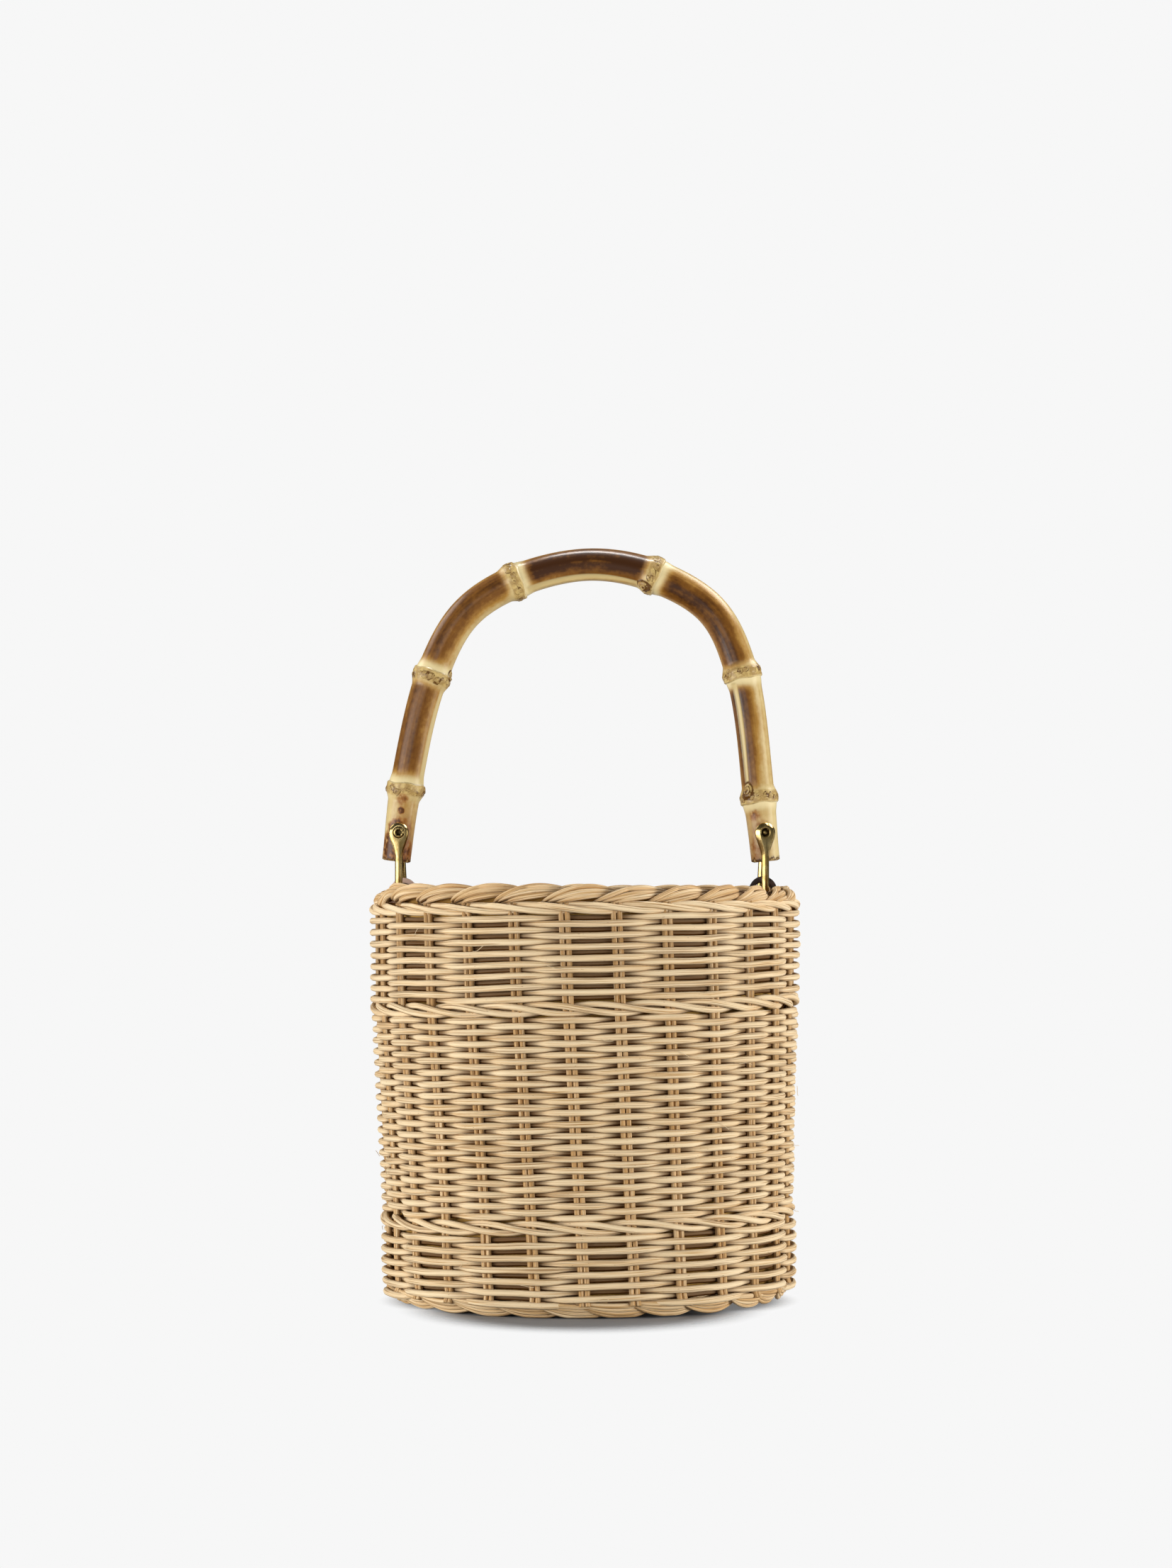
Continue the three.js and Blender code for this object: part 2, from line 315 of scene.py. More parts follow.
make_world()
soft_light("left_light", (-1.55, -0.66, 0.15), (0, 0, 0.15), (1.2, 0.28), 13, False)
soft_light("right_light", (1.55, -0.66, 0.15), (0, 0, 0.15), (1.2, 0.28), 21, False)
soft_light("left_panel", (-1.5, -0.8, 0.2), (0, 0, 0.18), (1.3, 0.9), 15)
soft_light("right_panel", (1.6, -0.4, 0.2), (0, 0, 0.18), (0.9, 0.9), 7)
soft_light("top_light", (0.05, 0.17, 1.35), (0, 0, 0.1), (0.6, 0.16), 11)
soft_light("front_card", (-0.75, -1.9, 0.42), (0, 0, 0.18), (1.1, 0.9), 5.2)
soft_light("back_light", (0.3, 1.9, 0.7), (0, 0, 0.15), (1.2, 0.8), 7, False)
soft_light("right_gleam", (0.75, 0.34, 1.1), (0.05, 0, 0.28), (0.9, 0.5), 11, True, False)
soft_light("left_gleam", (-0.95, 0.3, 0.95), (-0.05, 0, 0.27), (0.8, 0.5), 4, True, False)
bpy.context.scene.view_settings.view_transform = "Standard"
print("lights:", len(bpy.data.lights))

# %% [markdown]
# Rattan core is a straw coloured rod with long fibres, thin dark threads and a few specks.
# Each rod mesh keeps how far a point lies along it and on which side of it, so the fibres
# follow every bend. Where a rod dives behind its neighbours, and on its underside, shade is
# painted into its colour as a dark brown.

# %% Rattan
PALE_STRAW = rgb(236, 213, 174)
STRAW = rgb(226, 196, 152)
TAN = rgb(190, 150, 98)
BROWN_THREAD = rgb(118, 74, 26)
CREVICE_SHADE = rgb(82, 46, 4)


def fibre_noise(start, shift=0.0):
    """Noise drawn out along a rod, by how fast it changes across and along it, and its detail."""
    run = mark(start, "run")
    x, y, _ = mark(start, "side", "Vector").split()

    def drawn_out(across, along, detail):
        place = start.point(x * across, y * across, run * along + shift)
        return start.noise(place, 1.0, detail)

    return drawn_out


def rattan_paint(start):
    tone = mark(start, "tone")
    shade = mark(start, "shade")
    up = mark(start, "up")
    drawn_out = fibre_noise(start, mark(start, "seed"))
    fibre = drawn_out(1.7, 22.0, 3.0)
    grain = drawn_out(6.0, 50.0, 1.0)
    thread = drawn_out(2.6, 26.0, 1.0)
    cloud = drawn_out(0.5, 24.0, 2.0)
    speck = drawn_out(2.4, 480.0, 1.0)
    value = 0.72 + (fibre - 0.5) * 1.1 + (grain - 0.5) * 2.3
    value = value + (cloud - 0.5) * 0.9 + (tone - 0.5) * 0.8
    stops = [(0.1, TAN), (0.5, STRAW), (0.9, PALE_STRAW)]
    colour = start.node("ShaderNodeValToRGB", {"stops": stops}, {"Fac": value})
    lines = thread.ease(0.42, 0.34) * 0.55 + grain.ease(0.36, 0.22) * 0.5
    lines = lines + speck.ease(0.27, 0.2) * 0.5
    lined = lines.blend(colour, BROWN_THREAD)
    # painted shade: dark brown where the rod lies deep behind its neighbours and where it faces down
    deep = shade.ease(0.0, 0.62, 0.76, 0.0) + up.ease(-0.2, -0.95, 0.0, 0.34)
    height = fibre * 0.6 + thread * 0.8
    return {
        "Base Color": deep.ease(0.0, 1.0).blend(lined, CREVICE_SHADE),
        "Roughness": 0.45 + cloud * 0.2,
        "Normal": bumped(start, height, 0.45, 0.0005),
    }


rattan = finish("rattan_core", rattan_paint, Specular_IOR_Level=0.08)

# %% [markdown]
# Everything woven is a rod that follows a rule, so Geometry Nodes make it. A straight line
# is repeated, each point is put in its place by a formula, and a round profile is swept along.
# The tree's sizes are named inputs, and its result is turned into a plain mesh.

# %% A piece grown from a node tree
SOCKETS = {
    int: "NodeSocketInt",
    float: "NodeSocketFloat",
    bpy.types.Material: "NodeSocketMaterial",
}


def grow(name, sizes, build, material):
    """Builds a tree from its named sizes, runs it once and keeps the mesh that it makes."""
    tree = bpy.data.node_groups.new(name, "GeometryNodeTree")
    face = tree.interface
    face.new_socket("Geometry", in_out="OUTPUT", socket_type="NodeSocketGeometry")
    settings = dict(sizes, Finish=material)
    keys = {}
    for label, value in settings.items():
        socket = face.new_socket(label, in_out="INPUT", socket_type=SOCKETS[type(value)])
        keys[label] = socket.identifier
    entry = tree.nodes.new("NodeGroupInput")
    shape = build({label: Wire(tree, entry.outputs[label]) for label in settings})
    finish_wire = Wire(tree, entry.outputs["Finish"])
    whole = shape.node("GeometryNodeRealizeInstances", None, {"Geometry": shape})
    sockets = {"Geometry": whole, "Material": finish_wire}
    painted = shape.node("GeometryNodeSetMaterial", None, sockets)
    end = tree.nodes.new("NodeGroupOutput")
    tree.links.new(painted.socket, end.inputs[0])
    piece = bpy.data.objects.new(name, bpy.data.meshes.new(name + "_start"))
    bpy.context.collection.objects.link(piece)
    modifier = piece.modifiers.new("shape", "NODES")
    modifier.node_group = tree
    for label, value in settings.items():
        modifier[keys[label]] = value
    graph = bpy.context.evaluated_depsgraph_get()
    mesh = bpy.data.meshes.new_from_object(
        piece.evaluated_get(graph), preserve_all_data_layers=True, depsgraph=graph)
    piece.modifiers.remove(modifier)
    piece.data = mesh
    mesh.name = name
    print(name, "has", len(mesh.polygons), "faces")
    return piece


def seat(piece, body, slot, *nodes):
    """The piece moves with a body of the frame and stands for its CAD nodes."""
    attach(piece, body)
    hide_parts(*nodes)


# %% [markdown]
# A rod keeps what its material needs: its length so far, the side of the section, and how far
# its surface faces up, from which the finish paints shade on its underside. What a single rod
# adds, such as its tone, comes with its path.

# %% Rods along paths
def keep(shape, name, value, kind="FLOAT"):
    """Stores a value at the points of a shape, for its material."""
    sockets = {"Geometry": shape, "Name": name, "Value": value}
    return shape.node("GeometryNodeStoreNamedAttribute", {"data_type": kind}, sockets)


def rods(sizes, place):
    """Round rods. place turns a rod's number and the share of its length into its path."""
    start = sizes["Rods"]
    line = start.node("GeometryNodeCurvePrimitiveLine", None, {"End": (0.0, 0.0, 1.0)})
    sockets = {"Curve": line, "Count": sizes["Points"]}
    line = start.node("GeometryNodeResampleCurve", None, sockets)
    sockets = {"Geometry": line, "Amount": start}
    many = start.node("GeometryNodeDuplicateElements", {"domain": "SPLINE"}, sockets)
    number = many.other("Duplicate Index")
    share = start.node("GeometryNodeSplineParameter")
    middle, marks, thickness = place(number, share)
    for name, value in marks.items():
        many = keep(many, name, value)
    sockets = {"Curve": many, "Radius": thickness}
    many = start.node("GeometryNodeSetCurveRadius", None, sockets)
    sockets = {"Geometry": many, "Position": middle}
    many = start.node("GeometryNodeSetPosition", None, sockets)
    many = keep(many, "run", start.node("GeometryNodeSplineParameter", out="Length"))
    sockets = {"Resolution": sizes["Sides"], "Radius": 1.0}
    ring = start.node("GeometryNodeCurvePrimitiveCircle", None, sockets)
    ring = keep(ring, "side", start.node("GeometryNodeInputPosition"), "FLOAT_VECTOR")
    thick = start.node("GeometryNodeInputRadius")
    sockets = {"Curve": many, "Profile Curve": ring, "Scale": thick, "Fill Caps": True}
    tube = start.node("GeometryNodeCurveToMesh", None, sockets)
    # how far the surface faces up, for the painted shade on the rod's underside
    upright = start.node("GeometryNodeInputNormal").split()[2]
    tube = keep(tube, "up", upright)
    return start.node("GeometryNodeSetShadeSmooth", None, {"Geometry": tube})


# %% [markdown]
# All rods share the basket's own coordinates: a turn from the front to the right, a distance
# out from the ring of stakes, and a height. The basket leans a little at its foot, its stakes
# drift to the right on their way down, and its rows rise to the right, as the hand left them.

# %% The basket's coordinates
STAKES = 26
STEP = TURN / STAKES
FIRST_STAKE = -0.23
RING = [
    (0.0, 0.0832),
    (0.020, 0.0844),
    (0.040, 0.0839),
    (0.080, 0.0853),
    (0.125, 0.0872),
    (0.175, 0.0876),
]
LEAN = 0.0019
LEAN_TOP = 0.125
SHIFT = 0.0003
DRIFT = math.radians(4.5) / 0.165
DRIFT_LEVEL = 0.08
FOOT_TILT = 0.0006
ROW_TILT = 0.0019
RIM_LEVELLING = 0.0011


def ring_radius(height):
    """The radius of the ring of stakes at a height."""
    radius = RING[0][1]
    before = 0.0
    for (low, inner), (high, outer) in zip(RING, RING[1:]):
        slope = (outer - inner) / (high - low)
        radius = radius + height.over(low) * (slope - before)
        before = slope
    return radius


def on_basket(turn, out, height):
    """A place in the frame, from the basket's own coordinates."""
    tilt = height.ease(0.0, 0.03, FOOT_TILT, ROW_TILT)
    tilt = tilt - height.ease(0.14, 0.172, 0.0, RIM_LEVELLING)
    level = height + tilt * turn.sin()
    angle = turn + (DRIFT_LEVEL - height) * DRIFT
    radius = ring_radius(level) + out
    lean = (1 - level / LEAN_TOP).over(0.0) * LEAN + SHIFT
    return level.point(radius * angle.sin() + lean, radius * angle.cos() * -1.0, level)


def hand(turn, height, seed, amount):
    """A slow wandering, as the hand leaves it."""
    place = turn.point(turn.sin(), turn.cos(), height * 25 + seed)
    return (turn.noise(place, 2.2) - 0.5) * amount


def rod_marks(turn, height, number, shade, tone_and_shade_drop=0.0):
    """What the rattan finish reads from a rod: its tone, lowered by the last argument partly as
    painted shade, its own seed and how much painted shade it gets where it lies deep.
    """
    place = turn.point(turn * 0.9, height * 160 + number * 3.7, 0.0)
    return {"tone": turn.noise(place, 1.0) - tone_and_shade_drop, "seed": number * 7.7, "shade": shade}


# %% [markdown]
# Twenty-six pairs of thin upright stakes carry the weave. The real ones run from the foot
# border up into the rim, so each rod here does too. Their cut ends lean out over the foot.

# %% Stakes
def stakes(sizes):
    def place(number, share):
        pair = (number / 2).floor()
        side = number - pair * 2 - 0.5
        height = sizes["Foot"] + share * sizes["Length"]
        turn = (pair + FIRST_STAKE) * STEP + side * sizes["Pair gap"] / RING[3][1]
        turn = turn + hand(turn, height * 0.5, sizes["Seed"], sizes["Sway"])
        flare = height.ease(0.0095, 0.006, 0.0, sizes["Flare"])
        out = hand(turn, height, sizes["Seed"] + 9, sizes["Wander"]) + flare
        # painted shade: the stakes are toned darker and get more shade above the waist, where they
        # lie behind the weave
        shade = height.ease(0.12, 0.135, 0.43, 0.34)
        marks = rod_marks(turn, height, number, shade, 0.7)
        return on_basket(turn, out, height), marks, sizes["Rod radius"]

    return rods(sizes, place)


sizes = {
    "Rods": 2 * STAKES, "Points": 44, "Sides": 8, "Rod radius": 0.00112,
    "Foot": 0.0053, "Length": 0.1627, "Flare": 0.0016, "Pair gap": 0.0024, "Sway": 0.006,
    "Wander": 0.0006, "Seed": 4.0,
}
seat(grow("stakes", sizes, stakes, rattan), "basket", "rattan", "woven_wall")

# %% [markdown]
# The weave has three zones. At the top and the bottom one weaver winds up and passes over two
# stakes and under two. Twenty-six stakes make six and a half such waves to a round, so each
# round falls between the last by itself. In the middle each row passes over one stake and
# under one, and every other row the other way. Here such a row is a closed ring.

# %% Weavers
def uneven(turn, row, pace):
    """The share of its thickness that a rod has along its way, as no cane is quite even."""
    return 0.86 + turn.noise(turn.point(turn * pace, row, 0.0), 1.0) * 0.28


def weavers(sizes, wave):
    def place(number, share):
        rounds = share * sizes["Rounds"]
        turn = rounds * TURN + math.pi
        row = rounds * sizes["Climb"] + number
        height = sizes["First row"] + row * sizes["Row pitch"]
        swing = wave(turn, number)
        out = swing * sizes["Swing"] + hand(turn, height, sizes["Seed"], sizes["Wander"])
        level = height + hand(turn, height, sizes["Seed"] + 5, sizes["Row wander"])
        marks = rod_marks(turn, height, number, swing * 0.5 + 0.5)
        swell = swing.ease(-0.35, 0.5, 0.82, 1.1)
        thickness = sizes["Rod radius"] * swell * uneven(turn, row, 1.7)
        return on_basket(turn, out, level), marks, thickness

    return rods(sizes, place)


def over_one(turn, number):
    """How far out a row lies that passes over one stake and under one."""
    return (turn * (STAKES / 2) - FIRST_STAKE * math.pi + number * math.pi).cos()


def over_two(turn, number):
    """The same over two and under two, for one winding weaver whatever its number."""
    wave = (turn * (STAKES / 4) - (FIRST_STAKE + 0.5) * math.pi / 2).cos()
    return wave * (1.5 - wave * wave * 0.5)


def weave_zone(name, wave, rows, winds, low, high, swing, seed):
    """Rows from the first to the last height at the front: one winding rod, or closed rings."""
    pitch = (high - low) / (rows - 1)
    rounds = rows if winds else 1
    sizes = {
        "Rods": 1 if winds else rows, "Points": rounds * STAKES * 8 + 1, "Sides": 8,
        "Rod radius": 0.00129, "Swing": swing, "Row pitch": pitch,
        "First row": low - 0.5 * pitch if winds else low, "Rounds": float(rounds),
        "Climb": 1.0 if winds else 0.0, "Wander": 0.0016, "Row wander": 0.0022, "Seed": seed,
    }
    piece = grow(name, sizes, lambda wires: weavers(wires, wave), rattan)
    seat(piece, "basket", "rattan", "woven_wall")


weave_zone("upper_weave", over_two, 15, True, 0.1294, 0.1618, 0.0022, 2.0)
weave_zone("middle_weave", over_one, 35, False, 0.0412, 0.1208, 0.0019, 7.0)
weave_zone("lower_weave", over_two, 12, True, 0.0062, 0.0324, 0.0022, 12.0)

# %% [markdown]
# Three twisted bands, which basket makers call wales, divide the zones. A wale is three rods
# that take turns to pass in front of two stakes and behind one. As one path it is a single
# rod that goes round three times and meets its own start.

# %% Wales
def wale(sizes):
    def place(number, share):
        turn = share * TURN * 3 + math.pi
        around = turn * (STAKES / 3) + sizes["Start"]
        out = around.cos() * sizes["Swing"] + sizes["Out"]
        height = sizes["Level"] - around.sin() * sizes["Rise"]
        level = height + hand(turn, sizes["Level"], sizes["Seed"], sizes["Wander"])
        marks = rod_marks(turn, height, turn * 0.1, around.cos() * 0.5 + 0.62)
        thickness = sizes["Rod radius"] * uneven(turn, sizes["Seed"], 1.3)
        return on_basket(turn, out, level), marks, thickness

    return rods(sizes, place)


for name, level, rise, seed in [
    ("rim_wale", 0.1657, 0.0014, 1.0),
    ("waist_wale", 0.1251, 0.0019, 5.0),
    ("lower_wale", 0.0369, 0.0019, 8.0),
]:
    sizes = {
        "Rods": 1, "Points": 3 * STAKES * 9, "Sides": 10, "Rod radius": 0.0013,
        "Swing": 0.0021, "Out": 0.0003, "Rise": rise, "Level": level, "Start": 0.4 * seed,
        "Wander": 0.001, "Seed": seed,
    }
    seat(grow(name + "_rods", sizes, wale, rattan), "basket", "rattan", name)

# %% [markdown]
# At the mouth the stake ends are laid down to the right in strokes of three rods. A stroke
# comes up on the outside, rolls over the top and ends inside, thick in its middle and
# pointed at both ends, so the rim looks like a loose rope.

# %% Rim border
RIM_CORE_OUT = -0.0021
RIM_CORE_HEIGHT = 0.1707


def rim_strokes(sizes):
    def place(number, share):
        stroke = (number / 3).floor()
        strand = number - stroke * 3 - 1
        belly = (share * math.pi).sin()
        turn = (stroke + FIRST_STAKE + sizes["Start"] + share * sizes["Reach"]) * STEP
        middle = (stroke + 0.5) * STEP
        loose = hand(middle, strand * 0.05 + 0.1, sizes["Seed"], sizes["Loose"])
        rise = share * sizes["Climb"] - sizes["Dip"] + belly * sizes["Arch"]
        rise = rise + (strand * sizes["Spread"] + loose) * belly ** 0.8
        bow = (sizes["Core"] ** 2 - rise * rise).over(0.0) ** 0.5
        tuck = share.ease(0.55, 1.0, 0.0, sizes["End tuck"])
        tuck = tuck + share.ease(0.16, 0.0, 0.0, sizes["First tuck"])
        height = RIM_CORE_HEIGHT + rise + hand(turn, 0.1, sizes["Seed"], sizes["Wander"])
        height = height - turn.sin() * sizes["Tilt"]
        height = height - turn.sin().ease(-0.9, -0.96) * sizes["Left dip"]
        # painted shade: each stroke is darker at its ends and on its lower strand, and its tone is
        # lowered
        marks = rod_marks(turn, strand * 0.02, number, belly * 0.6 + strand * 0.08, 0.45)
        thickness = sizes["Rod radius"] * (0.5 + belly * 0.55)
        return on_basket(turn, RIM_CORE_OUT + bow - tuck, height), marks, thickness

    return rods(sizes, place)


sizes = {
    "Rods": 3 * STAKES, "Points": 36, "Sides": 10, "Rod radius": 0.00118, "Start": -0.56,
    "Reach": 1.75, "Climb": 0.0062, "Dip": 0.0048, "Arch": 0.0028, "Spread": 0.0020,
    "Core": 0.0027, "Tilt": 0.0014, "Left dip": 0.0032, "First tuck": 0.0012,
    "End tuck": 0.0052, "Loose": 0.0016, "Wander": 0.0018, "Seed": 3.0,
}
seat(grow("rim_border_rods", sizes, rim_strokes, rattan), "basket", "rattan", "rim_border")

# %% [markdown]
# Under the last row the lower stake ends are turned to the right in bundles of four. Each
# bundle leaves a stake, dips to the floor half way and tucks in behind the next one, which
# gives the foot its scalloped edge.

# %% Foot border
def foot_strokes(sizes):
    def place(number, share):
        stroke = (number / 4).floor()
        strand = number - stroke * 4
        belly = (share * math.pi).sin()
        middle = (stroke + 0.5) * STEP
        late = hand(middle, 0.3 + stroke * 0.07, sizes["Seed"] + 3, sizes["Late"])
        deep = hand(middle, 0.5 + stroke * 0.05, sizes["Seed"] + 7, sizes["Uneven sag"])
        turn = (stroke + sizes["Start"] + late + share * sizes["Reach"]) * STEP
        loose = hand(middle, strand * 0.05 + stroke * 0.09, sizes["Seed"], sizes["Loose"])
        dip = (sizes["Sag"] + deep) * (0.61 + strand * 0.13)
        sag = belly * dip + (strand * sizes["Spread"] + loose) * belly ** 0.7
        height = sizes["Top"] - sag + share * 0.0006 + turn.sin() ** 2 * sizes["Lift"]
        height = height.at_least(sizes["Lowest"])
        tuck = share.ease(0.5, 1.0) * sizes["Tuck"]
        out = 0.0006 - belly * (0.0004 + strand * sizes["Slope"]) - tuck
        # painted shade: each stroke is darker at its ends, and its tone is lowered
        marks = rod_marks(turn, strand * 0.02, number, belly * 0.6 + 0.2, 0.45)
        thickness = sizes["Rod radius"] * (0.7 + belly * 0.35)
        return on_basket(turn, out, height), marks, thickness

    return rods(sizes, place)


sizes = {
    "Rods": 4 * STAKES, "Points": 36, "Sides": 8, "Rod radius": 0.0011, "Start": -0.3,
    "Reach": 1.95, "Top": 0.0067, "Sag": 0.0026, "Spread": 0.00105, "Slope": 0.0011,
    "Lift": 0.0012, "Lowest": 0.00155, "Tuck": 0.0045, "Late": 1.1, "Uneven sag": 0.0022,
    "Loose": 0.0016, "Seed": 6.0,
}
seat(grow("foot_border_rods", sizes, foot_strokes, rattan), "basket", "rattan", "foot_border")

# %% [markdown]
# Here and there a thin fibre has come loose from a rod and stands off, pale and curled.

# %% Stray fibres
TURN_STEP = 0.618
HEIGHT_STEP = 0.7549


def stray_fibres(sizes):
    def place(number, share):
        turn = (number * TURN_STEP).fraction() * TURN
        height = sizes["Lowest"] + (number * HEIGHT_STEP).fraction() * sizes["Range"]
        lift = (number * 2.4).sin()
        curl = (share * 3.0 + number).sin() - number.sin()
        turn = turn + share * sizes["Length"] / RING[3][1]
        out = sizes["Out"] + share * 0.0012 + curl * 0.0004
        level = height + (lift * share + curl * 0.3) * sizes["Length"] * 0.5
        marks = rod_marks(turn, height, number, 0.9, -0.6)
        return on_basket(turn, out, level), marks, sizes["Rod radius"]

    return rods(sizes, place)


sizes = {
    "Rods": 40, "Points": 12, "Sides": 5, "Rod radius": 0.00011, "Length": 0.0055,
    "Out": 0.0034, "Lowest": 0.008, "Range": 0.158,
}
seat(grow("stray_fibres", sizes, stray_fibres, rattan), "basket", "rattan", "woven_wall")

# %% [markdown]
# The bottom is woven too, though it only shows from below: rods lie across like spokes and
# one weaver winds out between them.

# %% Base
BASE_HEIGHT = 0.0064
BASE_RADIUS = 0.0785
SPOKE_START = 0.004
WEAVER_START = 0.006


def on_base(turn, radius, height):
    return turn.point(radius * turn.sin() + LEAN, radius * turn.cos() * -1, height)


def base_spokes(sizes):
    def place(number, share):
        turn = (number + FIRST_STAKE) * STEP
        radius = SPOKE_START + share * (BASE_RADIUS - SPOKE_START)
        marks = rod_marks(turn, radius, number, 0.75)
        return on_base(turn, radius, BASE_HEIGHT), marks, sizes["Rod radius"]

    return rods(sizes, place)


def base_weaver(sizes):
    def place(number, share):
        rounds = (share ** 0.5) * sizes["Rounds"]
        turn = rounds * TURN
        radius = WEAVER_START + rounds * sizes["Row pitch"]
        swing = (turn * (STAKES / 4)).cos()
        height = BASE_HEIGHT + swing * sizes["Swing"]
        marks = rod_marks(turn, radius, number, 0.7 - swing * 0.4)
        return on_base(turn, radius, height), marks, sizes["Rod radius"]

    return rods(sizes, place)


sizes = {"Rods": STAKES, "Points": 12, "Sides": 8, "Rod radius": 0.001}
seat(grow("base_spokes", sizes, base_spokes, rattan), "basket", "rattan", "base")
sizes = {
    "Rods": 1, "Points": 3600, "Sides": 8, "Rod radius": 0.00115, "Swing": 0.0014,
    "Row pitch": 0.00235, "Rounds": 30.5,
}
seat(grow("base_weaver", sizes, base_weaver, rattan), "basket", "rattan", "base")

# %% [markdown]
# A tan cloth lines the basket and shows as brown slits behind the weave. It is a sheet sewn
# into a tube, with a round piece for the floor, a little slack between the stakes.

# %% Lining finish
THREAD_PITCH = 0.0007
DARK_CLOTH = rgb(140, 98, 40)
PALE_CLOTH = rgb(202, 160, 90)


def cloth_paint(start):
    place = start.node("ShaderNodeUVMap", {"uv_map": "cloth"})
    x, y, _ = place.split()
    across = (x * (TURN / THREAD_PITCH)).sin()
    along = (y * (TURN / THREAD_PITCH)).sin()
    weave = across * along * 0.5 + 0.5
    cloud = start.noise(place, 60.0, 3.0)
    value = weave * 0.35 + cloud * 0.65
    return {
        "Base Color": value.blend(DARK_CLOTH, PALE_CLOTH),
        "Roughness": 0.85 + cloud * 0.1,
        "Normal": bumped(start, weave, 0.4, 0.0002),
    }


lining_cloth = finish("lining_cloth", cloth_paint, Specular_IOR_Level=0.15)

# %% [markdown]
# A sheet repeats nothing, so it is made point by point in Python. The same few helpers build
# every piece from here on: a mesh from rings of points, its UV map and a soft step.

# %% Meshes made of rings
def plain_ring_radius(height):
    """The ring of stakes again, for pieces made in Python."""
    return np.interp(height, [row[0] for row in RING], [row[1] for row in RING])


def new_piece(name, points, faces, material):
    """A smooth mesh from points and faces, as an object of its own."""
    mesh = bpy.data.meshes.new(name)
    mesh.from_pydata([tuple(point) for point in points], [], faces)
    mesh.materials.append(material)
    mesh.shade_smooth()
    piece = bpy.data.objects.new(name, mesh)
    bpy.context.collection.objects.link(piece)
    print(name, "has", len(mesh.polygons), "faces")
    return piece


def grid_faces(rings, columns, closed=False):
    """Faces between rings of points. If closed, the last ring joins the first."""
    faces = []
    for i in range(rings if closed else rings - 1):
        here, there = i * columns, (i + 1) % rings * columns
        for k in range(columns):
            after = (k + 1) % columns
            faces.append((here + k, here + after, there + after, there + k))
    return faces


def give_uv(piece, name, places):
    """A UV map from one place per face corner."""
    layer = piece.data.uv_layers.new(name=name)
    layer.data.foreach_set("uv", np.asarray(places, float).ravel())


def at_corners(piece, values):
    """Values per vertex, repeated for the face corners."""
    corners = np.zeros(len(piece.data.loops), int)
    piece.data.loops.foreach_get("vertex_index", corners)
    return np.asarray(values)[corners]


def close_round(angles):
    """Angles at face corners, with the last face of each ring run on past the full turn."""
    faces = angles.reshape(-1, 4)
    wraps = faces.max(1) - faces.min(1) > math.pi
    faces[wraps] = np.where(faces[wraps] < math.pi, faces[wraps] + TURN, faces[wraps])
    return faces.reshape(-1)


def smooth(low, high, value):
    """0 at low and 1 at high, with a soft start and end."""
    share = np.clip((value - low) / (high - low), 0, 1)
    return share * share * (3 - 2 * share)


# %% Lining cloth
LINING_GAP = 0.0038
LINING_LOW = 0.0093
LINING_TOP = 0.1702
LINING_DIP = 0.0028
HEM_HEIGHT = 0.006
HEM_THICKNESS = 0.0005
UV_RADIUS = 0.083
WALL_COLUMNS = 8 * STAKES
FLOOR_COLUMNS = 96


def lining_wall():
    heights = np.linspace(LINING_LOW, LINING_TOP, 44)
    angles = np.arange(WALL_COLUMNS) * TURN / WALL_COLUMNS
    z, a = np.meshgrid(heights, angles, indexing="ij")
    slack = 0.0003 * np.cos(a * STAKES + 40 * z) + 0.0002 * np.sin(a * 7 + z * 90)
    hem = HEM_THICKNESS * (z > LINING_TOP - HEM_HEIGHT)
    radius = plain_ring_radius(z) - LINING_GAP - 0.0002 + slack * 0.7 - hem
    lean = LEAN * np.maximum(0, 1 - z / LEAN_TOP)
    dip = LINING_DIP * smooth(-0.9, -0.96, np.sin(a)) * (z - LINING_LOW) / LINING_TOP
    points = np.stack([radius * np.sin(a) + lean, -radius * np.cos(a), z - dip], -1)
    faces = grid_faces(len(heights), WALL_COLUMNS)
    piece = new_piece("lining_wall", points.reshape(-1, 3), faces, lining_cloth)
    across = close_round(at_corners(piece, a.ravel())) * UV_RADIUS
    give_uv(piece, "cloth", np.stack([across, at_corners(piece, z.ravel())], -1))
    return piece


def lining_floor():
    radii = np.linspace(0, plain_ring_radius(LINING_LOW) - LINING_GAP, 24)
    angles = np.arange(FLOOR_COLUMNS) * TURN / FLOOR_COLUMNS
    r, a = np.meshgrid(radii[1:], angles, indexing="ij")
    z = LINING_LOW + 0.0002 * np.sin(a * 5 + r * 200)
    points = np.stack([r * np.sin(a) + LEAN, -r * np.cos(a), z], -1).reshape(-1, 3)
    points = np.vstack([points, [[LEAN, 0, LINING_LOW]]])
    faces = grid_faces(len(radii) - 1, FLOOR_COLUMNS)
    centre = len(points) - 1
    faces += [(centre, (k + 1) % FLOOR_COLUMNS, k) for k in range(FLOOR_COLUMNS)]
    piece = new_piece("lining_floor", points, faces, lining_cloth)
    give_uv(piece, "cloth", at_corners(piece, points[:, :2]))
    return piece


wall = lining_wall()
seat(wall, "basket", "lining_cloth", "lining")
bottom = lining_floor()
seat(bottom, "basket", "lining_cloth", "lining")

# %% [markdown]
# The handle is one piece of bamboo root, bent over heat, scorched and lacquered. Its line is
# the curve of the CAD part, run on by about a millimetre at both ends. Each row below is a
# place in x and z, the radius there, and whether the bamboo has a node there.

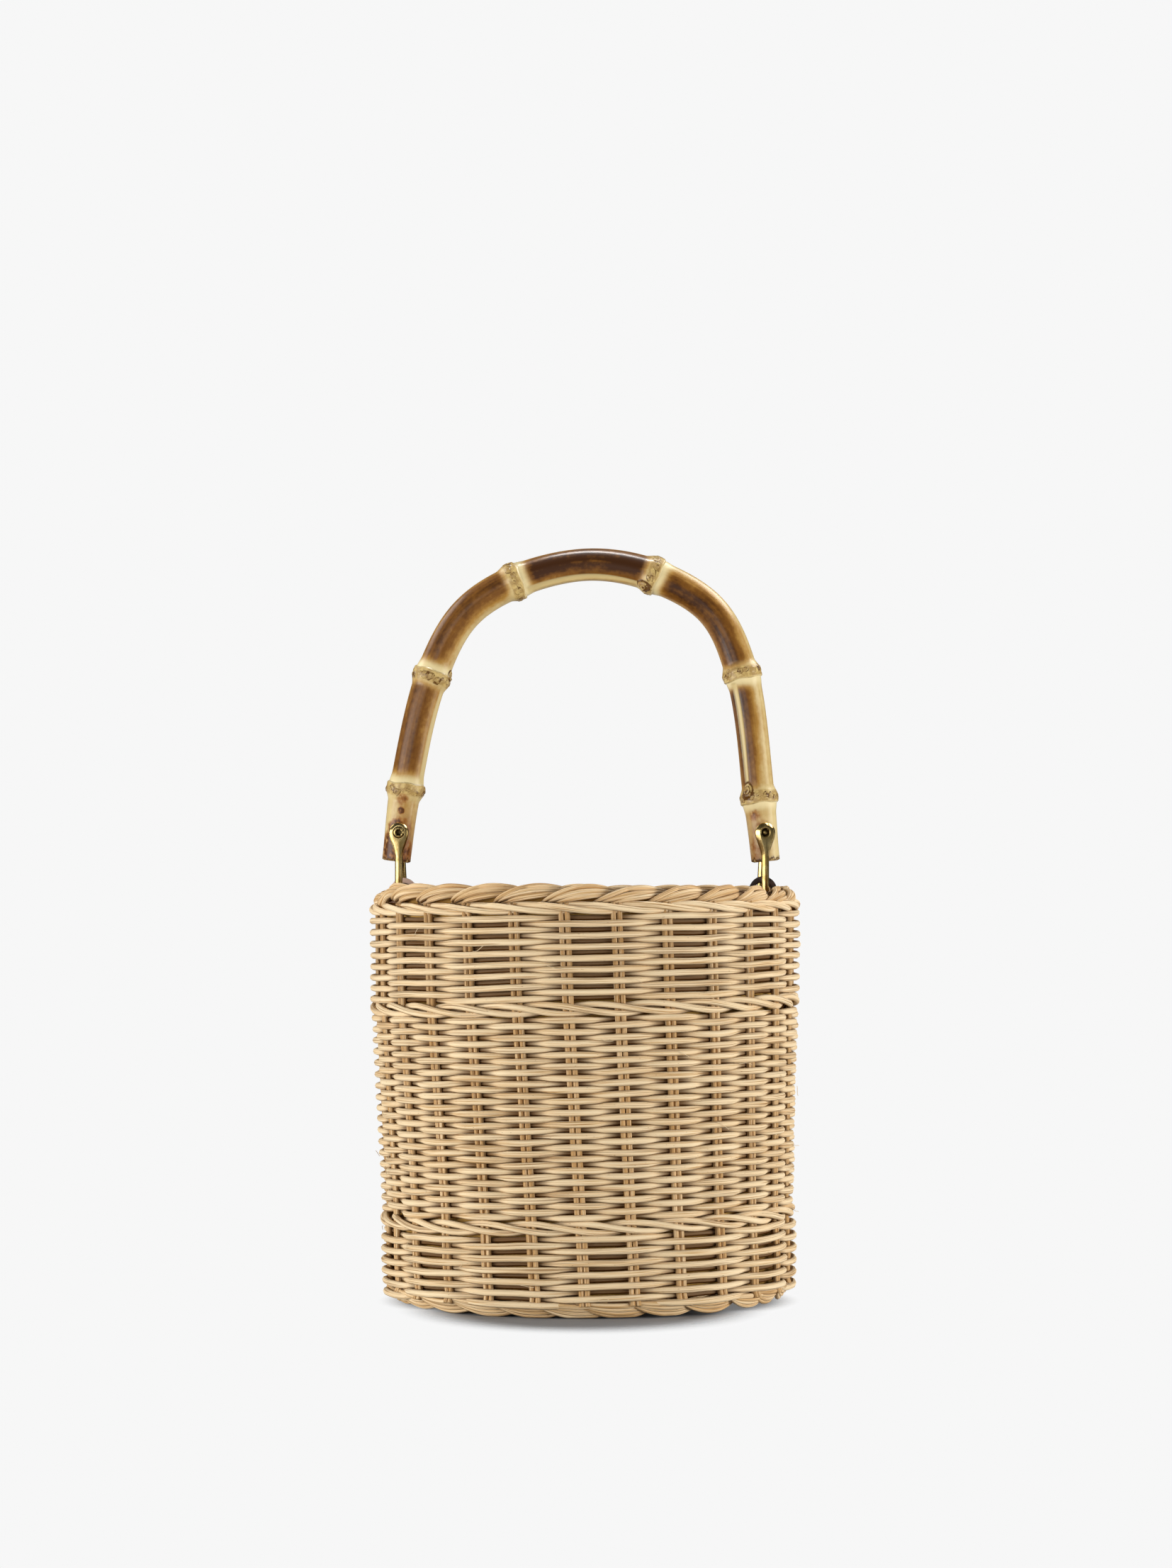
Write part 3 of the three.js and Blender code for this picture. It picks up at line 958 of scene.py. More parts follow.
# %% The handle's line
HANDLE_LINE = [
    (-0.0796, 0.1850, 0.0060, False),
    (-0.0757, 0.2157, 0.0068, True),
    (-0.0646, 0.2634, 0.0070, True),
    (-0.0505, 0.2896, 0.0070, False),
    (-0.0292, 0.3036, 0.0071, True),
    (0.0017, 0.3108, 0.0070, False),
    (0.0292, 0.3062, 0.0071, True),
    (0.0542, 0.2912, 0.0070, False),
    (0.0668, 0.2644, 0.0070, True),
    (0.0740, 0.2120, 0.0068, True),
    (0.0768, 0.1850, 0.0060, False),
]


def handle_line(steps):
    """Points along a centripetal curve through the line, with the radius at each."""
    knots = np.array([(row[0], row[1]) for row in HANDLE_LINE])
    radii = np.array([row[2] for row in HANDLE_LINE])
    first = 2 * knots[0] - knots[1]
    last = 2 * knots[-1] - knots[-2]
    reach = np.vstack([first, knots, last])
    gaps = np.sqrt(np.linalg.norm(np.diff(reach, axis=0), axis=1))
    points, sizes_here = [], []
    share = np.linspace(0, 1, steps, endpoint=False)[:, None]
    for i in range(len(knots) - 1):
        p0, p1, p2, p3 = reach[i:i + 4]
        g0, g1, g2 = gaps[i:i + 3]
        t1 = ((p1 - p0) / g0 - (p2 - p0) / (g0 + g1) + (p2 - p1) / g1) * g1
        t2 = ((p2 - p1) / g1 - (p3 - p1) / (g1 + g2) + (p3 - p2) / g2) * g1
        bend = -3 * p1 + 3 * p2 - 2 * t1 - t2
        twist = 2 * p1 - 2 * p2 + t1 + t2
        points.append(p1 + t1 * share + bend * share ** 2 + twist * share ** 3)
        sizes_here.append(radii[i] + (radii[i + 1] - radii[i]) * share[:, 0])
    points = np.vstack(points + [knots[-1:]])
    return points, np.append(np.concatenate(sizes_here), radii[-1])


LINE_STEPS = 160
coarse, coarse_radius = handle_line(LINE_STEPS)
coarse_length = np.append(0, np.cumsum(np.linalg.norm(np.diff(coarse, axis=0), axis=1)))
HANDLE_LENGTH = coarse_length[-1]
NODE_PLACES = [coarse_length[i * LINE_STEPS] for i, row in enumerate(HANDLE_LINE) if row[3]]
print("handle length in mm:", round(HANDLE_LENGTH * 1000, 1))

# %% [markdown]
# Every node of the root is a swollen ring with a ledge, covered with the round scars of its
# small roots. Some stretches between nodes have a groove where a branch lay. All this is
# relief in millimetres on a plain tube of many rings, because no rule repeats it, and the
# same forms are kept as marks, so that the colours lie where the relief is.

# %% Where the handle's rings lie
MM = 0.001
SIDES = 120
RING_GAPS = (0.22, 0.45, 1.1)
NEAR_NODE = 6


def ring_places():
    """Places of the rings: close together at nodes and cut ends, wide apart on the stretches."""
    s = np.linspace(0, HANDLE_LENGTH / MM, 4000)
    special = np.array([0, *NODE_PLACES, HANDLE_LENGTH]) / MM
    near = np.abs(s[:, None] - special).min(1)
    at_end = (s < special[1]) | (s > special[-2])
    wide = np.where(at_end, RING_GAPS[1], RING_GAPS[2])
    gap = np.where(near < NEAR_NODE, RING_GAPS[0], wide)
    count = np.append(0, np.cumsum(np.diff(s) / gap[1:]))
    return np.interp(np.linspace(0, count[-1], int(count[-1])), count, s) * MM


def hump(value, width):
    """1 at 0, falling off smoothly to both sides."""
    return np.exp(-(value / width) ** 2)


def wrapped(angle):
    """The same angle between half a turn back and half a turn on."""
    return (angle + math.pi) % TURN - math.pi


run = ring_places()
s = run[:, None] / MM
a = wrapped(np.arange(SIDES) * TURN / SIDES)[None, :]
shape = np.zeros((len(run), SIDES))
marks = {name: np.zeros_like(shape) for name in ("ring", "cream", "line", "groove", "scorch")}
print("handle rings:", shape.shape)

# %% Stretches between the nodes
# For each stretch between nodes: where its pale groove lies round the bamboo, how wide it is
# and how deep, then how dark the scorched streak is at its start and its end, where it lies
# and how wide it is. Angle 0 faces the hand and -90 the front.
STRETCHES = [
    (0, 0, 0.0, 0.62, 0.1, -55, 85),
    (-22, 24, 0.4, 0.66, 0.66, -110, 92),
    (0, 0, 0.0, 0.68, 0.7, -108, 80),
    (-38, 18, 0.6, 0.95, 1.05, -104, 78),
    (60, 24, 0.5, 0.9, 0.72, -72, 74),
    (-48, 15, 0.6, 0.95, 0.6, -52, 66),
    (0, 0, 0.0, 0.25, 0.42, -45, 80),
]
SLIMNESS = 0.15


def add_stretch(shape, low, high, row):
    """One stretch in mm along the handle: its slim middle, its scorched streak, its groove."""
    groove_at, half, depth, first_heat, last_heat, streak_at, spread = row
    inside = smooth(low, low + 4, s) * smooth(high, high - 4, s) + a * 0
    share = (s - low) / (high - low)
    belly = inside * np.sin(np.clip(share, 0, 1) * math.pi)
    shape -= SLIMNESS * belly
    aside = np.abs(wrapped(a - math.radians(streak_at))) / math.radians(spread)
    lengthwise = smooth(low + 2.5, low + 10, s) if low else 1.0
    if high < HANDLE_LENGTH / MM:
        lengthwise = lengthwise * smooth(high - 1.5, high - 7, s)
    heat = first_heat + (last_heat - first_heat) * np.clip(share, 0, 1)
    marks["scorch"] += heat * lengthwise * (0.1 + 0.9 * smooth(1.15, 0.1, aside))
    if half:
        lead = smooth(low + 2.4, low + 4, s) * smooth(high - 2.5, high - 7, s)
        width = math.radians(half) * (1 - 0.35 * smooth(0.4, 1, share))
        offset = np.abs(wrapped(a - math.radians(groove_at)))
        trough = lead * smooth(width, width * 0.4, offset)
        shape -= depth * trough * np.cos(np.clip(offset / width, 0, 1) * math.pi / 2)
        marks["groove"] = np.maximum(marks["groove"], trough)
        marks["line"] += 0.12 * lead * hump(offset - width, 0.07)


ends = np.array([0, *NODE_PLACES, HANDLE_LENGTH]) / MM
for low, high, row in zip(ends, ends[1:], STRETCHES):
    add_stretch(shape, low, high, row)
print("lowest relief in mm:", round(float(shape.min()), 2))

# %% Nodes and root scars
LEDGE = 2.2
SWELLING = 1.3
COLLAR = 0.55
SCARS = 19
SCAR_ARM = 6.8 * 1.15


def add_node(shape, index, place, rng):
    """One node at a place in mm: a swollen ring, a pale collar behind its ledge, and scars."""
    d = s - place
    d = d + 0.35 * np.sin(a * 2 + index) + 0.2 * np.sin(a * 5 + 2 * index)
    rise = SWELLING * smooth(-5.5, -0.8, d) * smooth(LEDGE + 0.35, LEDGE - 0.25, d)
    rise = rise + COLLAR * smooth(LEDGE - 0.2, LEDGE + 0.2, d) * smooth(7, LEDGE, d)
    shape += rise
    marks["ring"] += smooth(-3.6, -2.2, d) * smooth(LEDGE + 0.1, LEDGE - 0.4, d)
    marks["line"] += 0.3 * hump(d - LEDGE - 0.1, 0.2) + 0.12 * hump(d + 3.2, 0.25)
    marks["cream"] += smooth(LEDGE, LEDGE + 0.4, d) * smooth(7.5, 2.8, d)
    marks["cream"] += 0.25 * smooth(-6.5, -4.4, d) * smooth(-2.2, -3.4, d)
    for k in range(SCARS):
        turn = TURN * (k + 0.7 * rng.random()) / SCARS
        lift = -0.6 + 1.9 * (rng.random() - 0.5)
        size = 0.8 + 0.8 * rng.random()
        across = wrapped(a - turn) * SCAR_ARM
        wobble = 0.26 * np.sin(a * 19 + k) + 0.22 * np.sin(s * 3.3 + 2 * k)
        q = np.sqrt((d - lift + wobble) ** 2 + (across + 0.6 * wobble) ** 2) / size
        inked = 0.45 + 0.55 * rng.random()
        shape += 0.32 * np.clip(1 - q ** 2, 0, 1) - 0.3 * hump(q, 0.32)
        rounds = 0.8 * hump(q - 1.0, 0.17) + 0.5 * hump(q - 0.55, 0.13)
        marks["line"] += inked * (rounds + 0.9 * hump(q + 0.25 * np.sin(a * 7 + k), 0.24))


draws = np.random.default_rng(11)
for index, place in enumerate(NODE_PLACES):
    add_node(shape, index, place / MM, draws)
print("nodes:", len(NODE_PLACES), "with", SCARS, "root scars each")

# %% [markdown]
# A few marks belong to single places: the four branch buds that face the hand, the burnt spot
# under the left node and the brown smudges round both screws. Each end is cut off with a saw,
# chamfered and left raw, with a torn dark edge.

# %% Buds, burns and cut ends
# Each row is the number of a node, the distance from it in mm, the angle round the bamboo,
# the size in mm, and last how high the bud is or how dark the burn.
BUDS = [
    (1, 3.0, -18, 1.9, 0.9),
    (3, -2.6, -42, 2.4, 1.3),
    (5, -3.4, -50, 2.6, 0.9),
    (0, 0.4, -8, 1.4, 0.5),
]
BURNS = [
    (0, -9.4, -92, 1.7, 1.0),
    (0, -4.6, -92, 3.0, 0.6),
    (0, -17.6, -92, 6.6, 0.95),
    (0, -25.0, -128, 7.5, 1.0),
    (0, -26.5, -55, 6.5, 0.75),
    (5, 7.4, -62, 3.2, 0.55),
    (5, 14.6, -92, 6.2, 0.5),
    (5, 22.0, -50, 7.0, 0.45),
]
BUD_ARM = 7.2
BURN_ARM = 6.4
CHAMFER = 0.6


def from_spot(node, off, angle, size, arm, squeeze=1.0):
    """The distance from a place on the bamboo's skin, counted in sizes of the spot there."""
    along = (s - NODE_PLACES[node] / MM - off) * squeeze
    across = wrapped(a - math.radians(angle)) * arm
    return np.sqrt(along ** 2 + across ** 2) / size


for *spot, lift in BUDS:
    q = from_spot(*spot, BUD_ARM, 0.8)
    shape += lift * np.clip(1 - q ** 2, 0, 1) ** 0.7 - 0.5 * hump(q, 0.3)
    marks["line"] += 0.9 * hump(q - 0.98, 0.12) + 0.5 * hump(q - 0.55, 0.1) + 0.9 * hump(q, 0.2)
    marks["ring"] = np.maximum(marks["ring"], smooth(1.05, 0.9, q))
marks["burn"] = np.zeros_like(shape)
for *spot, depth in BURNS:
    q = from_spot(*spot, BURN_ARM)
    core = 0.55 if spot[3] < 2 else 0.3
    marks["burn"] = np.maximum(marks["burn"], depth * smooth(1.25, core, q))
marks["cream"] += 0.45 * smooth(NODE_PLACES[5] / MM + 6, NODE_PLACES[5] / MM + 9, s)
marks["cream"] += 0.3 * smooth(NODE_PLACES[0] / MM - 6, NODE_PLACES[0] / MM - 9, s)
ragged = 0.35 * np.sin(a * 9 + 1) + 0.3 * np.sin(a * 17) + 0.25 * np.sin(a * 29 + 2)
from_end = np.minimum(s, HANDLE_LENGTH / MM - s)
chamfer = np.clip(1 - from_end / (CHAMFER + ragged * 0.3), 0, 1)
shape -= 1.1 * chamfer ** 1.3
marks["raw"] = smooth(CHAMFER + 0.4 + ragged, CHAMFER - 0.3 + ragged, from_end)
marks["torn"] = hump(from_end - CHAMFER - 0.4 - ragged, 0.55)
print("highest relief in mm:", round(float(shape.max()), 2))

# %% [markdown]
# The relief is laid round the handle's line, ring by ring, and both ends are closed. Every
# point keeps its marks, its place along the handle and its side of the section.

# %% The handle's mesh
SAME_PLACE = 1e-7


def store(piece, name, values, kind="FLOAT"):
    """Keeps a value at the points of a mesh, for its material."""
    layer = piece.data.attributes.new(name, kind, "POINT")
    key = "vector" if kind == "FLOAT_VECTOR" else "value"
    layer.data.foreach_set(key, np.asarray(values, np.float32).ravel())


def face_out(piece, merge=True):
    """All the faces turned outwards. If merge, points in the same place become one."""
    shaped = bmesh.new()
    shaped.from_mesh(piece.data)
    if merge:
        bmesh.ops.remove_doubles(shaped, verts=shaped.verts, dist=SAME_PLACE)
    bmesh.ops.recalc_face_normals(shaped, faces=shaped.faces)
    shaped.to_mesh(piece.data)
    shaped.free()
    return piece


def handle_mesh(material):
    middle = np.stack([np.interp(run, coarse_length, coarse[:, k]) for k in (0, 1)], -1)
    radius = np.interp(run, coarse_length, coarse_radius)
    way = np.gradient(middle, run, axis=0)
    way /= np.linalg.norm(way, axis=1, keepdims=True)
    reach = radius[:, None] + shape * MM
    inner = reach * np.cos(a)
    x = middle[:, :1] + way[:, 1:] * inner
    z = middle[:, 1:] - way[:, :1] * inner
    y = reach * np.sin(a)
    points = np.stack([x, y, z], -1).reshape(-1, 3)
    faces = grid_faces(len(run), SIDES)
    tips = [(middle[0], 0), (middle[-1], (len(run) - 1) * SIDES)]
    for (cx, cz), start in tips:
        points = np.vstack([points, [[cx, 0, cz]]])
        centre = len(points) - 1
        for k in range(SIDES):
            pair = (start + k, start + (k + 1) % SIDES)
            faces.append((centre, *(pair[::-1] if start == 0 else pair)))
    piece = face_out(new_piece("bamboo_handle_root", points, faces, material), merge=False)
    side = np.stack([np.cos(a) + s * 0, np.sin(a) + s * 0, s * 0 + a * 0], -1).reshape(-1, 3)
    store(piece, "side", np.vstack([side, [[0, 0, 0], [0, 0, 0]]]), "FLOAT_VECTOR")
    store(piece, "run", np.append((run[:, None] + a * 0).ravel(), [0, HANDLE_LENGTH]))
    for name, values in marks.items():
        tip = 1.0 if name == "raw" else 0.0
        store(piece, name, np.append(np.clip(values, 0, 1.2).ravel(), [tip, tip]))
    return piece


# %% [markdown]
# The lacquer is clear and glossy. Under it the skin goes from cream beside the nodes through
# gold to a dark scorched streak in the middle of each stretch. The groove stays pale, with a
# soft brown border, and the root scars are outlined in brown.

# %% Bamboo finish
CREAM = rgb(232, 214, 164)
PALE_OLIVE = rgb(214, 192, 136)
GOLD = rgb(174, 130, 62)
BROWN = rgb(122, 78, 28)
SCORCHED = rgb(64, 35, 13)
NODE_TAN = rgb(206, 178, 114)
NODE_BROWN = rgb(150, 112, 54)
DARK_LINE = rgb(98, 64, 26)
PLUM_BROWN = rgb(70, 36, 12)
SINGED = rgb(150, 88, 30)
RAW_PALE = rgb(206, 176, 118)


def bamboo_paint(start):
    drawn_out = fibre_noise(start)
    grain = drawn_out(5.0, 14.0, 4.0) - 0.5
    cloud = drawn_out(1.3, 70.0, 3.0) - 0.5
    fine = drawn_out(14.0, 160.0, 2.0) - 0.5
    mottle = drawn_out(4.0, 500.0, 4.0) - 0.5
    drift = grain * 0.5 + cloud * 0.8 + mottle * 0.5
    heat = mark(start, "scorch") * (1.05 + drift) + drift * 0.3 + 0.08
    colour = heat.ease(0.0, 0.4).blend(PALE_OLIVE, GOLD)
    colour = heat.ease(0.3, 0.7).blend(colour, BROWN)
    colour = heat.ease(0.62, 1.1).blend(colour, SCORCHED)
    cream = mark(start, "cream") * (0.75 + cloud * 0.8)
    colour = cream.ease(0.0, 1.0).blend(colour, CREAM)
    colour = (mark(start, "groove") * (0.9 + grain)).blend(colour, PALE_OLIVE)
    ringed = mark(start, "ring") * (0.75 + mottle * 1.2)
    node = mottle.ease(-0.14, 0.12).blend(NODE_BROWN, NODE_TAN)
    colour = ringed.ease(0.1, 0.9).blend(colour, node)
    burnt = mark(start, "burn") * (0.85 + mottle * 2.4)
    colour = burnt.ease(0.05, 0.6, 0.0, 0.85).blend(colour, SINGED)
    colour = burnt.ease(0.4, 0.95, 0.0, 0.9).blend(colour, PLUM_BROWN)
    lined = mark(start, "line") * (0.85 + fine * 0.8 + mottle * 2.6)
    colour = lined.ease(0.05, 0.6).blend(colour, DARK_LINE)
    raw = mark(start, "raw")
    colour = raw.blend(colour, fine.ease(-0.12, 0.1).blend(DARK_LINE, RAW_PALE))
    colour = (mark(start, "torn") * 0.95).blend(colour, PLUM_BROWN)
    height = fine * 0.3 + grain * 0.3 - lined * 0.5
    return {
        "Base Color": colour,
        "Roughness": 0.42 + raw * 0.4 + lined * 0.2,
        "Coat Weight": 0.6 - raw * 0.6,
        "Normal": bumped(start, height, 0.18, 0.0006),
    }


bamboo = finish("scorched_bamboo", bamboo_paint, Coat_Roughness=0.25, Specular_IOR_Level=0.1)
seat(handle_mesh(bamboo), "handle", "bamboo", "bamboo_handle")

# %% [markdown]
# Each shackle is one bent piece of brass: two flattened legs with teardrop eyes, joined by
# the bar that the leather loop holds. The section is rounded, so the polished edges catch
# the light and the flat middle mirrors the dark room in front.

# %% Brass finish
BRASS = rgb(226, 200, 138)
OLD_BRASS = rgb(190, 160, 96)
GRIME_AND_SHADE = rgb(40, 26, 8)


def brass_paint(start):
    place = own_place(start)
    wear = start.noise(place, 260.0, 3.0)
    fine = start.noise(place, 1400.0, 2.0)
    grime = mark(start, "grime")
    metal = wear.ease(0.35, 0.7).blend(OLD_BRASS, BRASS)
    # the dark mark in the holes and recesses is partly grime, partly painted shade
    return {
        "Base Color": (grime * 0.9).blend(metal, GRIME_AND_SHADE),
        "Roughness": wear.ease(0.3, 0.7, 0.26, 0.18) + grime * 0.3,
        "Normal": bumped(start, fine + wear * 2.0, 0.05, 0.0003),
    }


brass = finish("polished_brass", brass_paint, Metallic=1.0)

# %% The shackles' outline
BAR_PLACES = {-1: -0.07815, 1: 0.0763}
BAR_Z = 0.1732
EYE_RISE = 0.024
EYE_RADIUS = 0.0042
LEG_HALF = 0.0016
NECK_DROP = 0.0105
LEG_ROUNDING = 0.001
SOFT_BEVEL = [
    (1.0, 1.0), (0.9, 0.985), (0.8, 0.94), (0.6, 0.82), (0.4, 0.68), (0.2, 0.52),
    (0.1, 0.42), (0.04, 0.3), (0.01, 0.16), (0.0, 0.0),
]
FLAT_BEVEL = [
    (1.0, 1.0), (0.97, 0.995), (0.93, 0.97), (0.5, 0.64), (0.1, 0.34), (0.03, 0.22), (0.0, 0.0),
]
LEG_MIDDLE = 0.008
LEG_DEPTH = 0.0015
OUTLINE_POINTS = 180


def arc(centre, radius, start, end, count):
    """Points on part of a circle."""
    turns = np.linspace(start, end, count)
    return np.stack([centre[0] + radius * np.cos(turns), centre[1] + radius * np.sin(turns)], -1)


def evenly(points, count, closed=True):
    """The same line with its points set at equal distances."""
    line = np.vstack([points, points[:1]]) if closed else points
    length = np.append(0, np.cumsum(np.linalg.norm(np.diff(line, axis=0), axis=1)))
    at = np.linspace(0, length[-1], count, endpoint=not closed)
    return np.stack([np.interp(at, length, line[:, k]) for k in (0, 1)], -1)


def widening(z):
    """0 along the leg and 1 at the eye, with the slow swelling of a teardrop between."""
    return smooth(EYE_RISE - NECK_DROP, EYE_RISE, z)


def leg_outline():
    """The leg's edge in x and z from the bar, anticlockwise from the bottom."""
    z = np.linspace(0, EYE_RISE, 90)
    side = np.stack([LEG_HALF + (EYE_RADIUS - LEG_HALF) * widening(z), z], -1)
    foot = arc((0, 0), LEG_HALF, -math.pi / 2, 0, 12)
    eye = arc((0, EYE_RISE), EYE_RADIUS, 0, math.pi / 2, 40)
    right = np.vstack([foot, side[1:], eye[1:]])
    left = right[::-1][1:-1] * (-1, 1)
    return evenly(np.vstack([right, left]), OUTLINE_POINTS)


def leg_rings(hole, lip, dome, aside, bevel):
    """The leg's section from edge to edge, then through the hole and back. Each ring is an
    outline, its depth and how dark the grime and painted shade are there."""
    edge = leg_outline()
    way = np.roll(edge, -1, 0) - np.roll(edge, 1, 0)
    way /= np.linalg.norm(way, axis=1, keepdims=True)
    inward = np.stack([-way[:, 1], way[:, 0]], -1)
    turn = np.arctan2(edge[:, 1] - EYE_RISE, edge[:, 0])
    spoke = np.stack([np.cos(turn), np.sin(turn)], -1)
    rounding = LEG_ROUNDING + (dome - LEG_ROUNDING) * widening(edge[:, 1:])
    rounding = rounding * (1 + aside * inward[:, :1])
    rings = []
    for side in (1, -1):
        for across, depth in bevel[::side]:
            rings.append((edge + inward * rounding * across, side * LEG_DEPTH * depth, 0.0))
    eye = np.array([0, EYE_RISE])
    # painted shade, with some grime: the lip and the inside of the hole are darkened
    for lips, depth, grime in ((1.3, -1.0, 0.0), (1.0, -1.0, 0.1), (0.4, -0.92, 0.5)):
        rings.append((eye + spoke * (hole + lip * lips), LEG_DEPTH * depth, grime))
    for depth in (-0.7, 0.7):
        rings.append((eye + spoke * hole, LEG_DEPTH * depth, 1.0))
    rings.append((eye + spoke * (hole + lip), LEG_DEPTH, 0.0))
    return rings


print("leg outline points:", len(leg_outline()))

# %% Shackles
def tube_rings(rows, sides):
    """Rings about a line along Y, from rows of radius, place along Y and lobes."""
    turns = np.arange(sides) * TURN / sides
    rings = []
    for radius, y, lobes in rows:
        reach = radius * (1 + lobes * np.cos(turns * 6))
        rings.append(np.stack([reach * np.cos(turns), turns * 0 + y, reach * np.sin(turns)], -1))
    return rings


LEFT_LEG = (0.0023, 0.0002, 0.0012, 0.3, SOFT_BEVEL)
RIGHT_LEG = (0.0016, 0.0005, 0.0014, 0.5, FLAT_BEVEL)
BACK_SHIFT = 0.0013
BAR_HALF = 0.0072
BAR_RADIUS = 0.0012
BAR_SHIFT = 0.0008
BAR_SIDES = 32


def shackle(name, side, front):
    """Side is -1 for the left one and 1 for the right one. Front gives the front leg's hole, lip
    and dome, how much wider its bevel is on the left, and the bevel's section."""
    points = np.zeros((0, 3))
    faces = []
    grimes_and_shades = []

    def add(rings, closed):
        nonlocal points
        start = len(points)
        points = np.vstack([points, *rings])
        wanted = grid_faces(len(rings), len(rings[0]), closed)
        faces.extend(tuple(corner + start for corner in face) for face in wanted)

    for back in (False, True):
        rings = []
        for outline, depth, grime in leg_rings(*(LEFT_LEG if back else front)):
            low = np.clip(1 - outline[:, 1] / EYE_RISE, 0, 1.1)
            x = outline[:, 0] - side * BACK_SHIFT * low * back
            y = outline[:, 0] * 0 + (LEG_MIDDLE - depth if back else depth - LEG_MIDDLE)
            rings.append(np.stack([x, y, outline[:, 1]], -1))
            grimes_and_shades.extend([grime] * len(outline))
        add(rings, True)
    front_end = [(0.0, -BAR_HALF, 0), (BAR_RADIUS, -BAR_HALF, 0)]
    back_end = [(BAR_RADIUS, BAR_HALF, 0), (0.0, BAR_HALF, 0)]
    bar = tube_rings(front_end + back_end, BAR_SIDES)
    for ring in bar[2:]:
        ring[:, 0] -= side * BAR_SHIFT
    add(bar, False)
    points = points + np.array([BAR_PLACES[side], 0, BAR_Z])
    piece = new_piece(name, points, faces, brass)
    store(piece, "grime", grimes_and_shades + [0.0] * (len(points) - len(grimes_and_shades)))
    return face_out(piece)


left = shackle("brass_shackle_left", -1, LEFT_LEG)
right = shackle("brass_shackle_right", 1, RIGHT_LEG)
seat(left, "left_shackle", "brass", "shackle_left")
seat(right, "right_shackle", "brass", "shackle_right")

# %% [markdown]
# A brass screw runs through each eye and through the bamboo. The left one has a low head
# with a lobed recess, and the right one is sunk, so that a round hole shows. Each row is a
# radius, a place along Y, the depth of the recess's lobes, and how dark the grime and painted
# shade are there.

# %% Screws
SCREW_SIDES = 48
SCREW_BACK = [
    (0.0022, 0.0095, 0, 0.0),
    (0.0019, 0.0099, 0, 0.0),
    (0.0012, 0.0100, 0, 0.0),
    (0.0, 0.0100, 0, 0.0),
]
# last column: grime with painted shade, darkest in the recess and at the head's edge
LEFT_SCREW = [
    (0.0, -0.0088, 0, 1.0),
    (0.0010, -0.0087, 0.10, 1.0),
    (0.00118, -0.0090, 0.12, 1.0),
    (0.00124, -0.0098, 0.12, 0.9),
    (0.00136, -0.0100, 0.08, 0.15),
    (0.0017, -0.0100, 0, 0.0),
    (0.0020, -0.0099, 0, 0.1),
    (0.0022, -0.0096, 0, 0.7),
]
RIGHT_SCREW = [
    (0.0, -0.0086, 0, 0.3),
    (0.0006, -0.0086, 0, 0.3),
    (0.0009, -0.0083, 0, 0.6),
    (0.0015, -0.0081, 0, 0.6),
    (0.0015, -0.0065, 0, 0.6),
    (0.0022, -0.0064, 0, 0.0),
]


def screw(name, side, rows):
    rows = rows + SCREW_BACK
    rings = tube_rings([row[:3] for row in rows], SCREW_SIDES)
    points = np.vstack(rings) + np.array([BAR_PLACES[side], 0, BAR_Z + EYE_RISE])
    piece = new_piece(name, points, grid_faces(len(rings), SCREW_SIDES), brass)
    store(piece, "grime", np.repeat([row[3] for row in rows], SCREW_SIDES))
    return face_out(piece)


seat(screw("brass_screw_left", -1, LEFT_SCREW), "left_shackle", "brass", "screw_left")
seat(screw("brass_screw_right", 1, RIGHT_SCREW), "right_shackle", "brass", "screw_right")

# %% [markdown]
# The leather loops are straps folded over the bars. Both tails lie flat against the wall
# inside. The cut edges of the left strap are bare and pinkish, painted pale also as the
# highlight that the light lays on them; those of the right one are dyed.

# %% Leather finish
DARK_LEATHER = rgb(38, 27, 24)
WORN_LEATHER = rgb(74, 54, 48)
BARE_EDGE_AND_HIGHLIGHT = rgb(236, 206, 190)


def leather_paint(start):
    place = own_place(start)
    grain = start.noise(place, 900.0, 3.0)
    wear = start.noise(place, 220.0, 2.0)
    skin = wear.ease(0.4, 0.75).blend(DARK_LEATHER, WORN_LEATHER)
    # the pale edge colour is the bare cut edge together with a painted highlight
    return {
        "Base Color": mark(start, "edge").ease(0.35, 0.65).blend(skin, BARE_EDGE_AND_HIGHLIGHT),
        "Roughness": grain.ease(0.3, 0.7, 0.38, 0.6),
        "Normal": bumped(start, grain, 0.25, 0.0003),
    }


leather = finish("dark_leather", leather_paint)

# %% [markdown]
# A strap is one rounded section, swept along a line that comes up inside the wall, goes over
# the bar and turns down again behind itself. Heights and distances below are in metres.

# %% Leather loops
STRAP_HALF = 0.0011
STRAP_SIDE = 0.005
STRAP_TAIL = 0.0825
STRAP_LOOP = 0.0047
STRAP_LEAN = 0.06
STRAP_CORNER = 0.00045
STRAP_PULL = 0.1680
STRAP_NECK = 0.1622
STRAP_END = 0.15


